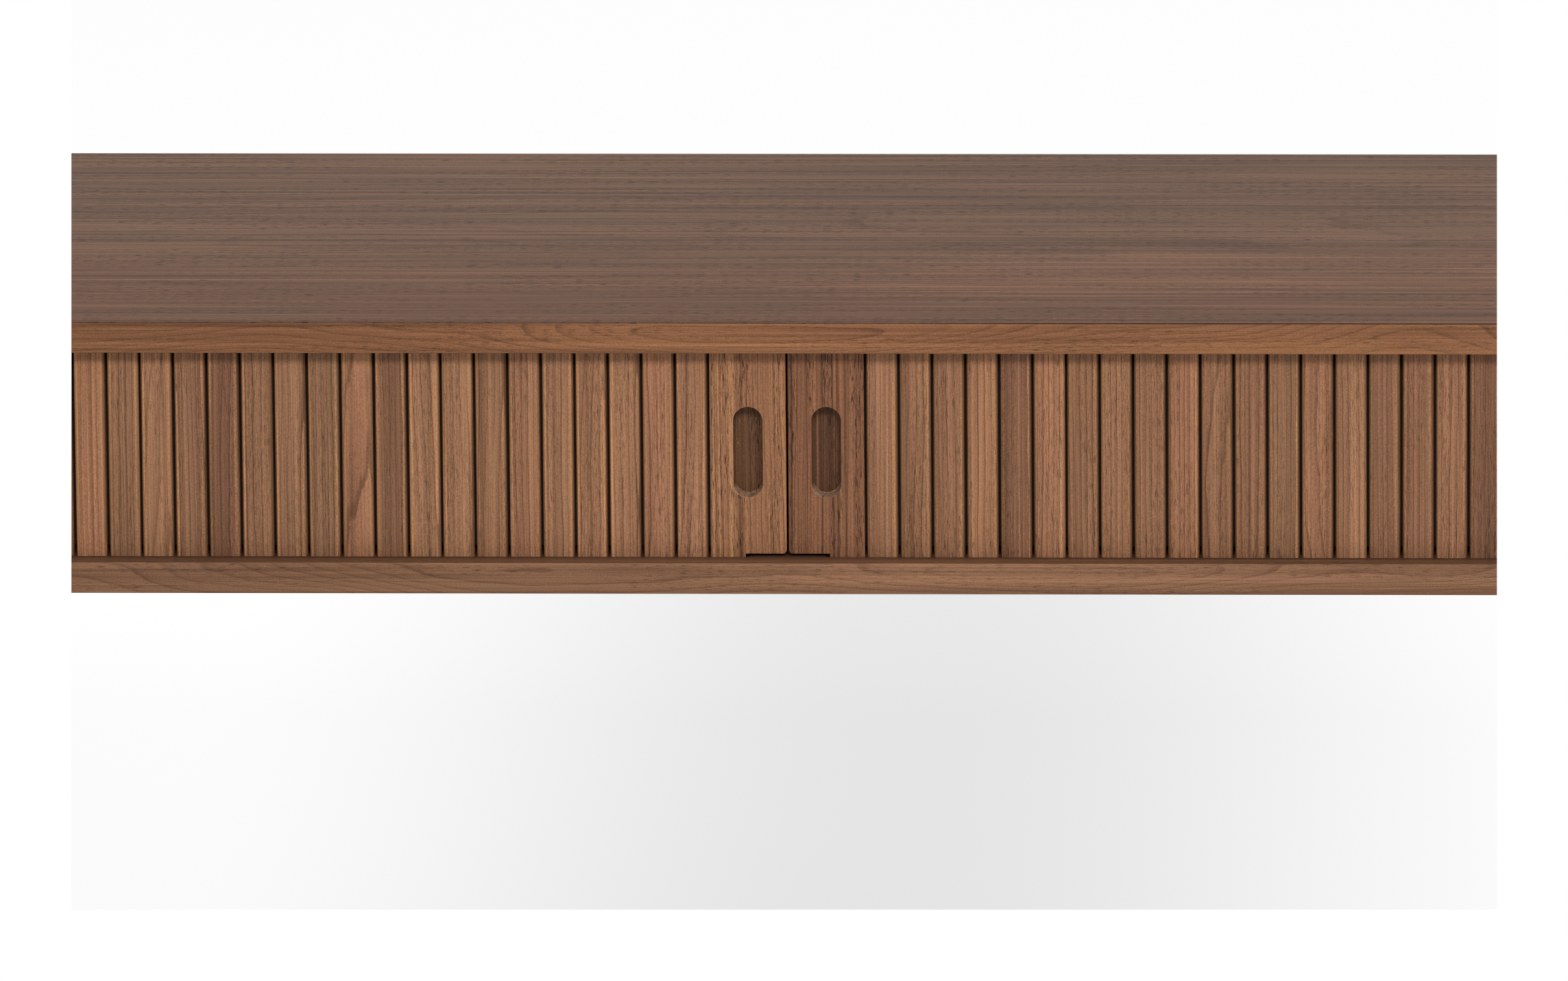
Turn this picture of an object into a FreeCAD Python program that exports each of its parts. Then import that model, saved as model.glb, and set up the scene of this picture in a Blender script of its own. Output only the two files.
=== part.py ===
import FreeCAD, Part

# A walnut writing desk whose box is closed by two tambour doors. Millimetres, X across, the front
# faces -Y, Z up, with the origin on the floor under the middle. Each door is a lead stile with a
# finger pull and a train of slats on canvas, whose tongues run in a track routed in both boards.
import math
import os

import Sketcher
from FreeCAD import Rotation, Vector

# Driving dimensions: alias, value, meaning.
DIMENSIONS = [
    ("depth", 500, "overall, front to back"),
    ("height", 760, "floor to worktop"),
    ("board_thick", 24, "worktop, and the board under the box"),
    ("veneer_thick", 0.8, "face of the worktop"),
    ("opening_high", 162, "between the two boards"),
    ("lipping_wide", 12, "solid front and back edges of each board"),
    ("end_lipping_wide", 6, "solid end edges of each board"),
    ("arris_round", 1, "softened outer edges of the lippings"),
    ("side_thick", 22, "end panels of the box"),
    ("back_thick", 12, "outer back panel"),
    ("back_inset", 14, "outer back panel, in from the rear edge"),
    ("housing_deep", 4, "housings of the panels in the two boards"),
    ("housing_play", 0.1, "each side of a housed panel"),
    ("liner_thick", 12, "false sides between the tambour and the shelf space"),
    ("false_back_thick", 9, "false back between the tambour and the shelf space"),
    ("divider_thick", 18, "upright dividers"),
    ("post_inset", 2, "front posts, in from the front edge"),
    ("set_back", 18, "tambour face, in from the front edge"),
    ("slat_pitch", 25, "slat to slat along the canvas"),
    ("slat_gap", 1.5, "between two slats, and beside the stile"),
    ("slat_thick", 10, "front to back"),
    ("slat_round", 4, "rounded front edges of a slat"),
    ("slat_count", 22, "slats on the straight run of a closed door"),
    ("tail_count", 3, "slats already in the bend of a closed door"),
    ("tongue_thick", 6, "front part of a slat or stile, which runs in the track"),
    ("tongue_long", 5.2, "reach of a tongue into the board"),
    ("shoulder_play", 0.5, "between a slat's shoulder and the board"),
    ("track_deep", 6, "depth of the routed track"),
    ("track_play", 0.5, "each side of a tongue in the track"),
    ("tongue_start", 31.5, "middle of the desk to the start of a stile's tongue"),
    ("track_spare", 6, "track left behind the last slat of an open door"),
    ("bend_radius", 60, "track bends, to the middle of the track"),
    ("bend_draw", 0.25, "how far the slats are drawn in on a bend"),
    ("run_clear", 2, "from the moving canvas to anything fixed"),
    ("run_beside", 6.5, "from the slats' faces to the side and back panels"),
    ("stile_wide", 57, "lead stile"),
    ("stile_thick", 20, "lead stile, front to back"),
    ("stile_gap", 1.5, "between the two closed stiles"),
    ("stile_lift", 2.6, "stile clear of the board where the track is stopped"),
    ("stile_round", 2, "rounded edges of a stile"),
    ("stile_corner", 3, "rounded inner corners of a stile, at its foot and head"),
    ("pull_wide", 22, "finger pull"),
    ("pull_long", 70, "finger pull, end to end"),
    ("pull_deep", 14, "finger pull"),
    ("pull_rise", 81, "middle of the pull above the bottom board"),
    ("pull_bevel", 0.6, "bevelled rim of the pull"),
    ("canvas_thick", 0.8, "cloth glued behind the slats"),
    ("canvas_high", 150, "cloth, top to bottom"),
    ("canvas_lap", 12, "cloth turned onto the back of the stile"),
    ("strip_thick", 4, "strip clamping the cloth to the stile"),
    ("fit_play", 0.15, "round a peg, screw or insert in its hole"),
    ("dowel_round", 4, "dowel radius"),
    ("dowel_long", 36, "dowels between the sides and the boards"),
    ("dowel_inset", 70, "outer dowels, in from the front and back edges"),
    ("leg_top", 46, "leg section where it meets the bottom board"),
    ("leg_foot", 28, "leg section at the floor"),
    ("leg_inset", 16, "legs, in from the ends, front and back"),
    ("leg_round", 4, "rounded corners of the leg"),
    ("rail_thick", 26, "rail from front leg to back leg"),
    ("rail_high", 60, "rail, top to bottom"),
    ("tenon_thick", 10, "tenon of the rail in the leg"),
    ("tenon_long", 22, "tenon of the rail in the leg"),
    ("tenon_shoulder", 8, "rail above and below its tenon"),
    ("bolt_round", 3, "rail bolts, shank radius"),
    ("bolt_sink", 38, "how deep the bolt heads are sunk in the rail"),
    ("bolt_head_round", 6, "rail bolts, head radius"),
    ("bolt_head_high", 4, "rail bolts, head"),
    ("head_play", 1, "round a bolt head in its bore"),
    ("insert_round", 5, "threaded inserts in the bottom board"),
    ("insert_long", 13, "threaded inserts"),
    ("bolt_offset", 130, "middle of the rail to each bolt"),
    ("glide_round", 9, "foot glides"),
    ("glide_high", 5, "foot glides, under the leg"),
]

# Places and sizes worked out from the sheet, as expressions.
FRONT = "(-Dims.depth / 2)"
BACK = "(Dims.depth / 2)"
CEILING = "(Dims.height - Dims.board_thick)"
FLOOR = f"({CEILING} - Dims.opening_high)"
BOX_FOOT = f"({FLOOR} - Dims.board_thick)"
FACE = f"({FRONT} + Dims.set_back)"
SLAT_WIDE = "(Dims.slat_pitch - Dims.slat_gap)"
FIRST_SLAT = "(Dims.stile_gap / 2 + Dims.stile_wide + Dims.slat_gap)"
BEND_X = f"({FIRST_SLAT} - Dims.slat_gap / 2 + Dims.slat_count * Dims.slat_pitch)"
FACE_RADIUS = "(Dims.bend_radius + Dims.tongue_thick / 2)"
SIDE_INNER = f"({BEND_X} + {FACE_RADIUS} + Dims.run_beside)"
HALF = f"({SIDE_INNER} + Dims.side_thick)"
FRONT_BEND_Y = f"({FACE} + {FACE_RADIUS})"
BACK_PANEL_Y = f"({BACK} - Dims.back_inset - Dims.back_thick)"
REAR_BEND_Y = f"({BACK_PANEL_Y} - Dims.run_beside - {FACE_RADIUS})"
CANVAS_RADIUS = f"({FACE_RADIUS} - Dims.slat_thick - Dims.bend_draw)"
BEND_STEP = f"(Dims.slat_pitch / {CANVAS_RADIUS} * 180 / pi)"
BEND_LONG = f"(pi / 2 * {CANVAS_RADIUS})"
SIDE_RUN = f"({REAR_BEND_Y} - {FRONT_BEND_Y})"
TRAVEL = "(Dims.slat_count * Dims.slat_pitch)"
TAIL_REACH = f"(Dims.tail_count * Dims.slat_pitch + {TRAVEL})"
REAR_RUN = f"({TAIL_REACH} - 2 * {BEND_LONG} - {SIDE_RUN} + Dims.track_spare)"
CORNER_REACH = f"(({CANVAS_RADIUS} - Dims.canvas_thick - Dims.run_clear) * sqrt(0.5))"
LINER_X = f"({BEND_X} + {CORNER_REACH})"
LINER_INNER = f"({LINER_X} - Dims.liner_thick)"
LINER_FRONT = f"({FRONT_BEND_Y} - {CORNER_REACH})"
BAY_WIDE = f"((2 * {LINER_INNER} - 2 * Dims.divider_thick) / 3)"
FALSE_BACK_Y = f"({REAR_BEND_Y} + {CORNER_REACH})"
CUTTER = "(Dims.tongue_thick / 2 + Dims.track_play)"
TONGUE_START = "(Dims.tongue_start - Dims.stile_gap / 2)"
OPEN_EDGE = f"({BEND_X} + Dims.stile_gap / 2)"
POST_BACK = f"({FACE} - Dims.run_clear)"
LAP_START = "(Dims.stile_wide - Dims.canvas_lap)"
LEG_X = f"({HALF} - Dims.leg_inset - Dims.leg_top / 2)"
LEG_Y = f"({BACK} - Dims.leg_inset - Dims.leg_top / 2)"
RAIL_REACH = f"({LEG_Y} - Dims.leg_top / 2)"
RAIL_FOOT = f"({BOX_FOOT} - Dims.rail_high)"

OVERRUN = "1"  # how far a cut runs past the face it starts from
END_PLAY = "0.5"  # left at the blind end of a hole
CANVAS_SEAM = "0.05"  # glue between the round cloth and the slats in a bend
FLAT_COUNT = 12  # flats round a dowel, bolt or insert, and round its hole


def make_sheet(doc):
    """The spreadsheet of driving dimensions."""
    sheet = doc.addObject("Spreadsheet::Sheet", "Dims")
    for row, (alias, value, meaning) in enumerate(DIMENSIONS, start=1):
        sheet.set(f"A{row}", alias)
        sheet.set(f"B{row}", str(value))
        sheet.set(f"C{row}", meaning)
        sheet.setAlias(f"B{row}", alias)
    doc.recompute()
    return sheet


def at(expression):
    """The present value of an expression."""
    value = FreeCAD.ActiveDocument.getObject("Dims").evalExpression(expression)
    return float(getattr(value, "Value", value))


def place(thing, x="0", y="0", z="0"):
    """Binds where a thing stands."""
    for axis, expression in zip("xyz", (x, y, z)):
        thing.setExpression(f".Placement.Base.{axis}", expression)


def block(name, low, high):
    """A block between its lowest and its highest corner."""
    solid = FreeCAD.ActiveDocument.addObject("Part::Box", name)
    for side, near, far in zip(("Length", "Width", "Height"), low, high):
        solid.setExpression(side, f"({far}) - ({near})")
    place(solid, *low)
    return solid


def pin(name, radius, length, foot, angle="360", turn=None):
    """An upright round bar, or a sector of one, from the middle of its foot."""
    bar = FreeCAD.ActiveDocument.addObject("Part::Cylinder", name)
    bar.setExpression("Radius", radius)
    bar.setExpression("Height", length)
    bar.setExpression("Angle", angle)
    if turn:
        bar.Placement.Rotation = turn
    place(bar, *foot)
    return bar


def inner_pin(name, radius, length, foot):
    """An upright bar that stays inside the wood, with flats all round to keep it light."""
    bar = FreeCAD.ActiveDocument.addObject("Part::Prism", name)
    bar.Polygon = FLAT_COUNT
    bar.setExpression("Circumradius", radius)
    bar.setExpression("Height", length)
    place(bar, *foot)
    return bar


def gather(name, members):
    """Separate solids kept as one piece group."""
    group = FreeCAD.ActiveDocument.addObject("Part::Compound", name)
    group.Links = members
    return group


def cut(name, base, tools):
    """A base less all the tools."""
    tool = tools[0]
    if len(tools) > 1:
        tool = FreeCAD.ActiveDocument.addObject("Part::MultiFuse", name + "_tools")
        tool.Shapes = tools
    result = FreeCAD.ActiveDocument.addObject("Part::Cut", name)
    result.Base = base
    result.Tool = tool
    return result


def mirrored(name, source):
    """The same piece on the other half of the desk."""
    twin = FreeCAD.ActiveDocument.addObject("Part::Mirroring", name)
    twin.Source = source
    twin.Normal = Vector(1, 0, 0)
    return twin


def rounded(name, base, radius, chosen):
    """A base with the chosen edges rounded."""
    FreeCAD.ActiveDocument.recompute()
    result = FreeCAD.ActiveDocument.addObject("Part::Fillet", name)
    result.Base = base
    size = at(radius)
    edges = enumerate(base.Shape.Edges, start=1)
    result.Edges = [(number, size, size) for number, edge in edges if chosen(edge)]
    return result


def new_body(name):
    return FreeCAD.ActiveDocument.addObject("PartDesign::Body", name)


def new_sketch(body, name, plane="XY_Plane", lift="0", turn="0"):
    """A sketch on one of the body's own planes, moved out along the plane's normal."""
    sketch = body.newObject("Sketcher::SketchObject", name)
    support = next(f for f in body.Origin.OriginFeatures if f.Role == plane)
    sketch.AttachmentSupport = [(support, "")]
    sketch.MapMode = "FlatFace"
    sketch.setExpression(".AttachmentOffset.Base.z", lift)
    sketch.AttachmentOffset.Rotation = Rotation(Vector(0, 0, 1), at(turn))
    return sketch


def hold_point(sketch, geometry, end, x, y):
    """Dimensions one end of an edge from the sketch's origin."""
    for kind, expression in (("DistanceX", x), ("DistanceY", y)):
        value = at(expression)
        index = sketch.addConstraint(Sketcher.Constraint(kind, -1, 1, geometry, end, value))
        sketch.setExpression(f"Constraints[{index}]", expression)


def outline(sketch, corners):
    """Closed outline through corners (x, y) or (x, y, radius), counter-clockwise.

    A corner with a radius stands between two edges that lie along the axes, and is rounded.
    """
    points = [Vector(at(c[0]), at(c[1]), 0) for c in corners]
    stops = []
    for i, corner in enumerate(corners):
        x, y = corner[:2]
        if len(corner) == 2:
            stops.append([(x, y)])
            continue
        ends = []
        for other in (points[i - 1], points[(i + 1) % len(points)]):
            step = (other - points[i]).normalize()
            ends.append(tuple(
                f"{value} + ({corner[2]}) * {round(move)}" for value, move in zip((x, y), step)
            ))
        stops.append(ends)
    lines = []
    for i, ends in enumerate(stops):
        start, finish = ends[-1], stops[(i + 1) % len(stops)][0]
        a, b = (Vector(at(x), at(y), 0) for x, y in (start, finish))
        line = sketch.addGeometry(Part.LineSegment(a, b), False)
        hold_point(sketch, line, 2, *finish)
        if len(ends) == 2:
            hold_point(sketch, line, 1, *start)
        lines.append(line)
    for i, ends in enumerate(stops):
        before, after = lines[i - 1], lines[i]
        if len(ends) == 1:
            sketch.addConstraint(Sketcher.Constraint("Coincident", before, 2, after, 1))
            continue
        a, b = (Vector(at(x), at(y), 0) for x, y in ends)
        centre = a + b - points[i]
        turns_left = (a - centre).cross(b - centre).z > 0
        first, last = (a, b) if turns_left else (b, a)
        start, end = (math.atan2(p.y - centre.y, p.x - centre.x) for p in (first, last))
        circle = Part.Circle(centre, Vector(0, 0, 1), at(corners[i][2]))
        end += 2 * math.pi * (end < start)
        arc = sketch.addGeometry(Part.ArcOfCircle(circle, start, end), False)
        near, far = (1, 2) if turns_left else (2, 1)
        sketch.addConstraint(Sketcher.Constraint("Coincident", before, 2, arc, near))
        sketch.addConstraint(Sketcher.Constraint("Coincident", after, 1, arc, far))
        index = sketch.addConstraint(Sketcher.Constraint("Radius", arc, at(corners[i][2])))
        sketch.setExpression(f"Constraints[{index}]", corners[i][2])


def rectangle(sketch, left, low, right, high):
    outline(sketch, [(left, low), (right, low), (right, high), (left, high)])


def stadium(sketch, x, y, wide, long):
    """An upright slot with round ends about a middle point."""
    half, reach = f"({wide}) / 2", f"(({long}) - ({wide})) / 2"
    radius, rise = at(half), at(reach)
    middle = Vector(at(x), at(y), 0)
    top, foot = (middle + Vector(0, side * rise, 0) for side in (1, -1))
    aside = Vector(radius, 0, 0)
    out = Vector(0, 0, 1)
    right = sketch.addGeometry(Part.LineSegment(foot + aside, top + aside), False)
    upper = sketch.addGeometry(Part.ArcOfCircle(Part.Circle(top, out, radius), 0, math.pi), False)
    left = sketch.addGeometry(Part.LineSegment(top - aside, foot - aside), False)
    lower = sketch.addGeometry(
        Part.ArcOfCircle(Part.Circle(foot, out, radius), math.pi, 2 * math.pi), False
    )
    for one, other in ((right, upper), (upper, left), (left, lower), (lower, right)):
        sketch.addConstraint(Sketcher.Constraint("Tangent", one, 2, other, 1))
    hold_point(sketch, upper, 3, x, f"{y} + {reach}")
    hold_point(sketch, lower, 3, x, f"{y} - {reach}")
    index = sketch.addConstraint(Sketcher.Constraint("Radius", upper, radius))
    sketch.setExpression(f"Constraints[{index}]", half)
    sketch.addConstraint(Sketcher.Constraint("Equal", upper, lower))


def pad(body, sketch, length, name):
    feature = body.newObject("PartDesign::Pad", name)
    feature.Profile = sketch
    feature.setExpression("Length", length)
    return feature


def pocket(body, sketch, length, name, backwards=False):
    feature = body.newObject("PartDesign::Pocket", name)
    feature.Profile = sketch
    feature.setExpression("Length", length)
    feature.Reversed = backwards
    return feature


def spans(edge, axis, **where):
    """Whether a straight edge runs along an axis at the given places."""
    bounds = edge.BoundBox
    if edge.Curve.TypeId != "Part::GeomLine":
        return False
    lengths = {"x": bounds.XLength, "y": bounds.YLength, "z": bounds.ZLength}
    if any(lengths[other] > 1e-6 for other in lengths if other != axis):
        return False
    centre = bounds.Center
    return all(abs(getattr(centre, key) - value) < 1e-4 for key, value in where.items())


# ---- the tambour track, cut alike in both boards -------------------------------------------------


def track_path():
    """The cutter's path on the right half: front run, bend, side run, bend and rear run."""
    path = FreeCAD.ActiveDocument.addObject("Sketcher::SketchObject", "track_path")
    run_y, rear_y = f"({FRONT_BEND_Y} - Dims.bend_radius)", f"({REAR_BEND_Y} + Dims.bend_radius)"
    run_x = f"({BEND_X} + Dims.bend_radius)"
    runs = [
        (("Dims.tongue_start", run_y), (BEND_X, run_y)),
        ((run_x, FRONT_BEND_Y), (run_x, REAR_BEND_Y)),
        ((BEND_X, rear_y), (f"{BEND_X} - {REAR_RUN}", rear_y)),
    ]
    lines = []
    for start, finish in runs:
        a, b = (Vector(at(x), at(y), 0) for x, y in (start, finish))
        line = path.addGeometry(Part.LineSegment(a, b), False)
        hold_point(path, line, 1, *start)
        hold_point(path, line, 2, *finish)
        lines.append(line)
    bends = ((0, FRONT_BEND_Y, -math.pi / 2), (1, REAR_BEND_Y, 0))
    radius = at("Dims.bend_radius")
    for number, centre_y, begin in bends:
        circle = Part.Circle(Vector(at(BEND_X), at(centre_y), 0), Vector(0, 0, 1), radius)
        arc = path.addGeometry(Part.ArcOfCircle(circle, begin, begin + math.pi / 2), False)
        path.addConstraint(Sketcher.Constraint("Coincident", lines[number], 2, arc, 1))
        path.addConstraint(Sketcher.Constraint("Coincident", lines[number + 1], 1, arc, 2))
        index = path.addConstraint(Sketcher.Constraint("Radius", arc, radius))
        path.setExpression(f"Constraints[{index}]", "Dims.bend_radius")
    return path


def track_plan(path):
    """What the round cutter clears as it follows the path."""
    plan = FreeCAD.ActiveDocument.addObject("Part::Offset2D", "track_plan")
    plan.Source = path
    plan.setExpression("Value", CUTTER)
    plan.Mode = "Pipe"
    plan.Join = "Arc"
    return plan


def track_tools(board, plan, foot):
    """The cut-away of both tracks in one board."""
    right = FreeCAD.ActiveDocument.addObject("Part::Extrusion", board + "_right_track")
    right.Base = plan
    right.DirMode = "Custom"
    right.Dir = Vector(0, 0, 1)
    right.Solid = True
    right.setExpression("LengthFwd", "Dims.track_deep")
    place(right, z=foot)
    return [right, mirrored(board + "_left_track", right)]


# ---- panels housed in the boards -------------------------------------------------------------------

INNER_WALLS = {
    "liner": (LINER_INNER, LINER_FRONT, LINER_X, FALSE_BACK_Y),
    "divider": (
        f"{BAY_WIDE} / 2",
        LINER_FRONT,
        f"{BAY_WIDE} / 2 + Dims.divider_thick",
        f"{FALSE_BACK_Y} - Dims.false_back_thick",
    ),
}
CENTRE_WALLS = {
    "false_back": (
        f"-{LINER_INNER}",
        f"{FALSE_BACK_Y} - Dims.false_back_thick",
        LINER_INNER,
        FALSE_BACK_Y,
    ),
    "back_panel": (
        f"-{SIDE_INNER} - Dims.housing_deep",
        BACK_PANEL_Y,
        f"{SIDE_INNER} + Dims.housing_deep",
        f"{BACK_PANEL_Y} + Dims.back_thick",
    ),
}


def wall(name, plan):
    """An upright panel that reaches into its housings in both boards."""
    left, front, right, back = plan
    reach = "Dims.housing_deep - Dims.housing_play"
    low, high = f"{FLOOR} - ({reach})", f"{CEILING} + ({reach})"
    play = "Dims.housing_play"
    low_corner = (f"{left} + {play}", f"{front} + {play}", low)
    high_corner = (f"{right} - {play}", f"{back} - {play}", high)
    return block(name, low_corner, high_corner)


def housing_tools(board, foot):
    """The housings of every inner wall in one board."""
    tools = []
    top = f"{foot} + Dims.housing_deep"
    for name, (left, front, right, back) in INNER_WALLS.items():
        tool = block(f"{board}_{name}_housing", (left, front, foot), (right, back, top))
        tools += [tool, mirrored(f"{board}_left_{name}_housing", tool)]
    for name, (left, front, right, back) in CENTRE_WALLS.items():
        tools.append(
            block(f"{board}_{name}_housing", (left, front, foot), (right, back, top))
        )
    return tools


# ---- boards --------------------------------------------------------------------------------------


def core_board(name, foot, thick, tools):
    """A board inside its lippings, less the tools."""
    edge, end = "Dims.lipping_wide", "Dims.end_lipping_wide"
    low = (f"-{HALF} + {end}", f"{FRONT} + {edge}", foot)
    high = (f"{HALF} - {end}", f"{BACK} - {edge}", f"{foot} + {thick}")
    blank = block(name + "_blank", low, high)
    return cut(name, blank, tools)


def lippings(board, foot, thick, soft_levels):
    """Solid edges round a board: front and back full length, the ends between them.

    Their outer edges are softened at the given heights.
    """
    top = f"{foot} + {thick}"
    edge, end = "Dims.lipping_wide", "Dims.end_lipping_wide"
    outer_front, outer_back, outer_end = at(FRONT), at(BACK), at(HALF)
    heights = [at(level) for level in soft_levels]
    pieces = []

    def soft(along, **where):
        return lambda e: any(spans(e, along, z=height, **where) for height in heights)

    for side, low_y, high_y, face in (
        ("front", FRONT, f"{FRONT} + {edge}", outer_front),
        ("back", f"{BACK} - {edge}", BACK, outer_back),
    ):
        name = f"{board}_{side}_lipping"
        blank = block(name + "_blank", (f"-{HALF}", low_y, foot), (HALF, high_y, top))
        pieces.append(rounded(name, blank, "Dims.arris_round", soft("x", y=face)))
    name = f"{board}_right_lipping"
    low = (f"{HALF} - {end}", f"{FRONT} + {edge}", foot)
    blank = block(name + "_blank", low, (HALF, f"{BACK} - {edge}", top))
    right = rounded(name, blank, "Dims.arris_round", soft("y", x=outer_end))
    return pieces + [right, mirrored(f"{board}_left_lipping", right)]


def dowel_places():
    """Where the dowels stand, as (x, y) on the right-hand side panel."""
    x = f"{HALF} - Dims.side_thick / 2"
    inset = "Dims.dowel_inset"
    return [(x, f"{FRONT} + {inset}"), (x, f"{BACK} - {inset}")]


def dowels():
    """The dowels between the side panels and the boards, and the holes they need."""
    pegs, holes = [], []
    half = "Dims.dowel_long / 2"
    for level, joint in (("upper", CEILING), ("lower", FLOOR)):
        for number, (x, y) in enumerate(dowel_places(), start=1):
            peg = inner_pin(
                f"{level}_dowel_{number}", "Dims.dowel_round", "Dims.dowel_long",
                (x, y, f"{joint} - {half}"),
            )
            hole = inner_pin(
                f"{level}_dowel_hole_{number}", "Dims.dowel_round + Dims.fit_play",
                f"Dims.dowel_long + 2 * {END_PLAY}", (x, y, f"{joint} - {half} - {END_PLAY}"),
            )
            pegs += [peg, mirrored(f"left_{level}_dowel_{number}", peg)]
            holes.append(hole)
    return gather("side_dowels", pegs), holes


# ---- the tambour doors ---------------------------------------------------------------------------


def slat_body(name, left, face, turn="0"):
    """One slat on end: a rounded front part that reaches into the track, and a thinner back part.

    The slat's left edge and its face stand at the given places of the body's plan.
    """
    body = new_body(name)
    right, seam = f"({left}) + {SLAT_WIDE}", f"({face}) + Dims.tongue_thick"
    rear = f"({face}) + Dims.slat_thick"
    radius = "Dims.slat_round"
    front_plan = new_sketch(body, name + "_front_plan", lift="-Dims.tongue_long", turn=turn)
    outline(front_plan, [(left, face, radius), (right, face, radius), (right, seam), (left, seam)])
    front = pad(body, front_plan, "Dims.opening_high + 2 * Dims.tongue_long", name + "_front")
    back_plan = new_sketch(body, name + "_back_plan", lift="Dims.shoulder_play", turn=turn)
    rectangle(back_plan, left, seam, right, rear)
    back = pad(body, back_plan, "Dims.opening_high - 2 * Dims.shoulder_play", name + "_back")
    return body, front_plan, [front, back]


def straight_slats():
    """The slats of the right door's front run."""
    body, plan, pads = slat_body("right_slats", "0", "0")
    row = body.newObject("PartDesign::LinearPattern", "right_slats_row")
    row.Originals = pads
    row.Direction = (plan, ["H_Axis"])
    row.setExpression("Length", "Dims.slat_pitch * (Dims.slat_count - 1)")
    row.setExpression("Occurrences", "Dims.slat_count")
    body.Tip = row
    place(body, FIRST_SLAT, FACE, FLOOR)
    return body


def corner_slats():
    """The slats that stand in the right front bend."""
    reach = f"-{FACE_RADIUS} + Dims.bend_draw"
    body, plan, pads = slat_body(
        "right_corner_slats", f"-{SLAT_WIDE} / 2", reach, f"{BEND_STEP} / 2"
    )
    fan = body.newObject("PartDesign::PolarPattern", "right_corner_slats_fan")
    fan.Originals = pads
    fan.Axis = (plan, ["N_Axis"])
    fan.setExpression("Angle", f"{BEND_STEP} * (Dims.tail_count - 1)")
    fan.setExpression("Occurrences", "Dims.tail_count")
    body.Tip = fan
    place(body, BEND_X, FRONT_BEND_Y, FLOOR)
    return body


def straight_canvas():
    """The cloth behind the front run, from its lap on the stile to the bend."""
    front = f"{FACE} + Dims.slat_thick"
    rise = "(Dims.opening_high - Dims.canvas_high) / 2"
    left = f"Dims.stile_gap / 2 + {LAP_START} + Dims.fit_play"
    return block(
        "right_canvas", (left, front, f"{FLOOR} + {rise}"),
        (BEND_X, f"{front} + Dims.canvas_thick", f"{CEILING} - {rise}"),
    )


def corner_canvas():
    """The cloth round the front bend, behind the corner slats."""
    rise = "(Dims.opening_high - Dims.canvas_high) / 2"
    foot = (BEND_X, FRONT_BEND_Y, f"{FLOOR} + {rise}")
    facing_front = Rotation(Vector(0, 0, 1), -90)
    sweep = f"{BEND_STEP} * Dims.tail_count"
    outer = pin(
        "corner_canvas_outer", f"{CANVAS_RADIUS} - {CANVAS_SEAM}", "Dims.canvas_high", foot, sweep,
        facing_front,
    )
    inner = pin(
        "corner_canvas_inner", f"{CANVAS_RADIUS} - {CANVAS_SEAM} - Dims.canvas_thick",
        "Dims.canvas_high", foot, "360", facing_front,
    )
    return cut("right_corner_canvas", outer, [inner])


def lead_stile():
    """The right door's lead stile, with its inner edge on the body's YZ plane."""
    body = new_body("right_lead_stile")
    wide, thick, seam = "Dims.stile_wide", "Dims.stile_thick", "Dims.slat_thick"
    radius = "Dims.stile_round"
    plan = new_sketch(body, "stile_plan", lift="Dims.shoulder_play")
    outline(plan, [
        ("0", "0", radius), (wide, "0", radius), (wide, seam),
        (LAP_START, seam), (LAP_START, thick), ("0", thick, radius),
    ])
    pad(body, plan, "Dims.opening_high - 2 * Dims.shoulder_play", "stile_board")
    tongue_plan = new_sketch(body, "stile_tongue_plan", lift="-Dims.tongue_long")
    tongue = "Dims.tongue_thick"
    outline(tongue_plan, [
        (TONGUE_START, "0"), (wide, "0", radius), (wide, tongue), (TONGUE_START, tongue),
    ])
    pad(body, tongue_plan, "Dims.opening_high + 2 * Dims.tongue_long", "stile_tongue")
    lift_plan = new_sketch(body, "stile_lift_plan", plane="XZ_Plane", lift=OVERRUN)
    high, soft = "Dims.opening_high", "Dims.stile_corner"
    for board, edge, inward in (("0", "Dims.stile_lift", "+"), (high, f"{high} - Dims.stile_lift", "-")):
        beyond = f"{board} - ({inward}{OVERRUN})"
        turned = f"{edge} {inward} 2 * {soft}"
        outline(lift_plan, [
            (f"-{OVERRUN}", beyond), (TONGUE_START, beyond), (TONGUE_START, edge),
            ("0", edge, soft), ("0", turned), (f"-{OVERRUN}", turned),
        ])
    pocket(body, lift_plan, f"{thick} + 2 * {OVERRUN}", "stile_lift")
    pull_plan = new_sketch(body, "pull_plan", plane="XZ_Plane")
    stadium(pull_plan, f"{wide} / 2", "Dims.pull_rise", "Dims.pull_wide", "Dims.pull_long")
    pull = pocket(body, pull_plan, "Dims.pull_deep", "pull")
    FreeCAD.ActiveDocument.recompute()

    def on_rim(edge):
        bounds = edge.BoundBox
        inside = bounds.XMin > 2 * at(radius) and bounds.XMax < at(wide) - 2 * at(radius)
        near = abs(bounds.Center.z - at("Dims.pull_rise")) <= at("Dims.pull_long") / 2
        return inside and near and bounds.YLength < 1e-6 and abs(bounds.Center.y) < 1e-6

    rim = body.newObject("PartDesign::Chamfer", "pull_rim")
    chosen = [f"Edge{n}" for n, e in enumerate(pull.Shape.Edges, start=1) if on_rim(e)]
    rim.Base = (pull, chosen)
    rim.setExpression("Size", "Dims.pull_bevel")
    FreeCAD.ActiveDocument.recompute()
    body.Tip = rim
    place(body, "Dims.stile_gap / 2", FACE, FLOOR)
    return body


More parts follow.
